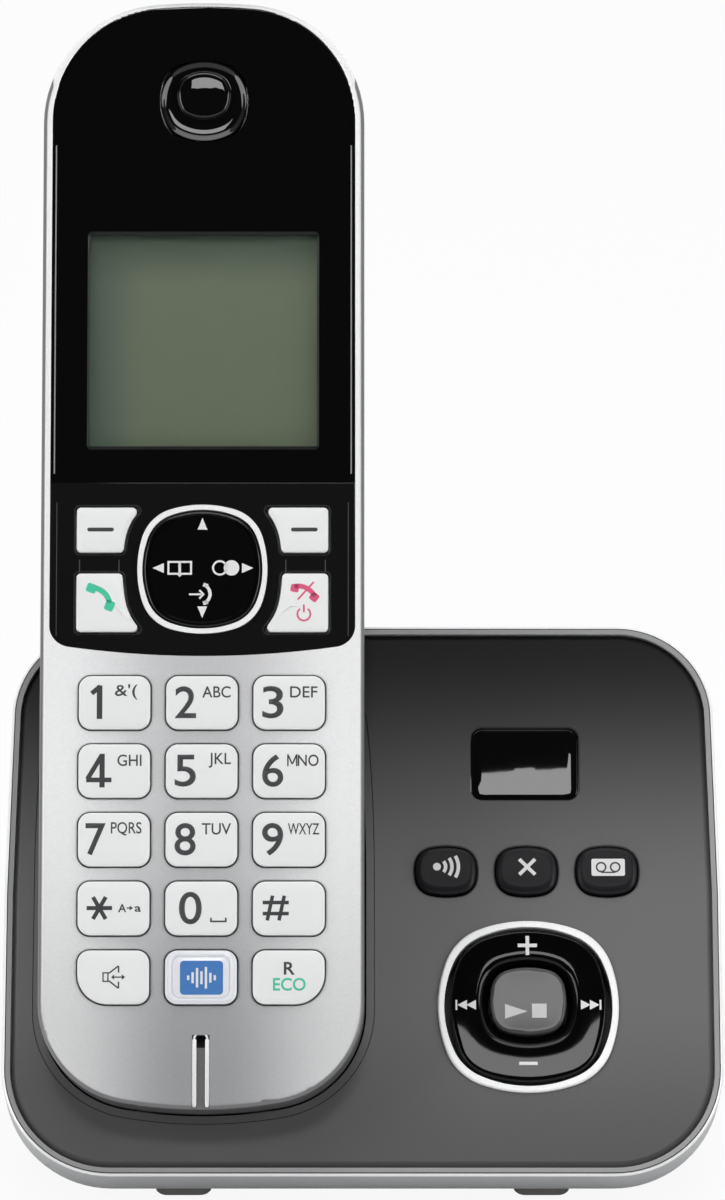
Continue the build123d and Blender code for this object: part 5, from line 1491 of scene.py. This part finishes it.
class MACHINE_OT_make_stage(Operator):
    """Set up the floor, the lamps and the camera"""

    bl_idname = "machine.make_stage"
    bl_label = "Stage"

    def execute(self, context):
        stage = context.scene.machine_stage
        scene = context.scene
        scene.view_settings.view_transform = "Standard"
        self.floor(stage)
        self.world(scene, stage)
        self.camera(scene, stage)
        self.lamps(stage)
        return {"FINISHED"}

    @staticmethod
    def floor(stage):
        """Pale floor that glows almost white for the camera alone."""
        floor = named(added(bpy.ops.mesh.primitive_plane_add, size=60.0, location=(0, 0, 0)), "floor")
        material, tree, shader = new_material("pale floor", stage.floor, roughness=0.7)
        ray = add_node(tree, "ShaderNodeLightPath").outputs["Is Camera Ray"]
        glow = add_node(tree, "ShaderNodeEmission", {"Color": WHITE, "Strength": 1.0})
        share = maths(tree, "MULTIPLY", ray, stage.floor_white)
        values = {"Fac": share, 1: shader.outputs["BSDF"], 2: glow.outputs["Emission"]}
        mix = add_node(tree, "ShaderNodeMixShader", values)
        feed(tree, tree.nodes["Material Output"].inputs["Surface"], mix.outputs["Shader"])
        floor.data.materials.append(material)
        floor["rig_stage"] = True

    @staticmethod
    def world(scene, stage):
        """Even light, weak in front and strong behind, and plain white to the camera."""
        world = bpy.data.worlds.new("studio")
        world.use_nodes = True
        scene.world = world
        tree = world.node_tree
        where = add_node(tree, "ShaderNodeTexCoord").outputs["Generated"]
        split = add_node(tree, "ShaderNodeSeparateXYZ", {"Vector": where})
        values = {
            "Value": split.outputs["Y"], "From Min": -ROOM_SEAM, "From Max": ROOM_SEAM,
            "To Min": stage.room, "To Max": stage.sky,
        }
        room = add_node(tree, "ShaderNodeMapRange", values)
        ray = add_node(tree, "ShaderNodeLightPath").outputs["Is Camera Ray"]
        values = {"Factor": ray, "A": room.outputs["Result"], "B": 1.0}
        level = add_node(tree, "ShaderNodeMix", values, data_type="FLOAT")
        background = tree.nodes["Background"]
        feed(tree, background.inputs["Strength"], level.outputs["Result"])
        feed(tree, background.inputs["Color"], WHITE)

    @staticmethod
    def camera(scene, stage):
        """Camera that looks down at the base from in front of its lip."""
        lip = BASE.to_translation()
        camera = added(
            bpy.ops.object.camera_add,
            location=(0, lip.y - stage.camera_back, lip.z + stage.camera_up),
            rotation=(math.pi / 2 - stage.tilt, 0, 0),
        )
        camera.data.sensor_fit = "VERTICAL"
        camera.data.sensor_height = camera.data.sensor_width = 36.0
        camera.data.lens = stage.lens
        camera.data.clip_start = 0.01
        scene.camera = camera

    @staticmethod
    def lamp(name, where, target, width, height, power):
        """Flat soft lamp that faces a point."""
        lamp = named(added(bpy.ops.object.light_add, type="AREA", location=where), name)
        lamp.data.shape = "RECTANGLE"
        lamp.data.size = width
        lamp.data.size_y = height
        lamp.data.energy = power
        aim = Vector(target) - Vector(where)
        lamp.rotation_euler = aim.to_track_quat("-Z", "Y").to_euler()

    def lamps(self, stage):
        """A lamp at each side, one above, and the card that the base's face mirrors."""
        centre = (0, 0, 0.08)
        for side, name in ((-1, "left lamp"), (1, "right lamp")):
            self.lamp(name, (side * 0.95, -0.55, 0.40), centre, 0.45, 0.9, stage.key_power)
        self.lamp("top lamp", (0, 0.05, 1.1), centre, 0.9, 0.5, stage.top_power)
        self.lamp("front card", *CARD, stage.card_power)


OPERATORS = (
    MACHINE_OT_dress_cases,
    MACHINE_OT_make_keys,
    MACHINE_OT_shape_four_way_key,
    MACHINE_OT_shape_base_buttons,
    MACHINE_OT_shape_play_ring,
    MACHINE_OT_shape_earpiece,
    MACHINE_OT_shape_panels,
    MACHINE_OT_shape_window,
    MACHINE_OT_lay_microphone_rails,
    MACHINE_OT_print_keys,
    MACHINE_OT_print_controls,
    MACHINE_OT_make_stage,
)


class MACHINE_PT_sidebar(Panel):
    bl_label = "Answering machine"
    bl_idname = "MACHINE_PT_sidebar"
    bl_space_type = "VIEW_3D"
    bl_region_type = "UI"
    bl_category = "Answering machine"

    def draw(self, context):
        for operator in OPERATORS:
            self.layout.operator(operator.bl_idname)
        for group_name in GROUPS:
            group = getattr(context.scene, group_name)
            for name in group.__annotations__:
                self.layout.prop(group, name)


GROUPS = {
    "machine_colours": MachineColours,
    "machine_keys": KeySizes,
    "machine_ring": RingSizes,
    "machine_panels": PanelSizes,
    "machine_rails": RailSizes,
    "machine_stage": StageSizes,
}


def register():
    for group in GROUPS.values():
        bpy.utils.register_class(group)
    for operator in OPERATORS:
        bpy.utils.register_class(operator)
    bpy.utils.register_class(MACHINE_PT_sidebar)
    for name, group in GROUPS.items():
        setattr(bpy.types.Scene, name, PointerProperty(type=group))


def unregister():
    for name in GROUPS:
        delattr(bpy.types.Scene, name)
    bpy.utils.unregister_class(MACHINE_PT_sidebar)
    for operator in reversed(OPERATORS):
        bpy.utils.unregister_class(operator)
    for group in reversed(list(GROUPS.values())):
        bpy.utils.unregister_class(group)


def corners():
    """The shown object's lowest and highest corner, as plain lists."""
    bpy.context.view_layer.update()
    return [list(corner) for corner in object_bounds()]


def main():
    cad_box = corners()
    register()
    bpy.ops.machine.dress_cases()
    bpy.ops.machine.make_keys()
    bpy.ops.machine.shape_four_way_key()
    bpy.ops.machine.shape_base_buttons()
    bpy.ops.machine.shape_play_ring()
    bpy.ops.machine.shape_earpiece()
    bpy.ops.machine.shape_panels()
    bpy.ops.machine.shape_window()
    bpy.ops.machine.lay_microphone_rails()
    bpy.ops.machine.print_keys()
    bpy.ops.machine.print_controls()
    bpy.ops.machine.make_stage()
    {"cad": cad_box, "visual": corners()}


if __name__ == "__main__":
    main()
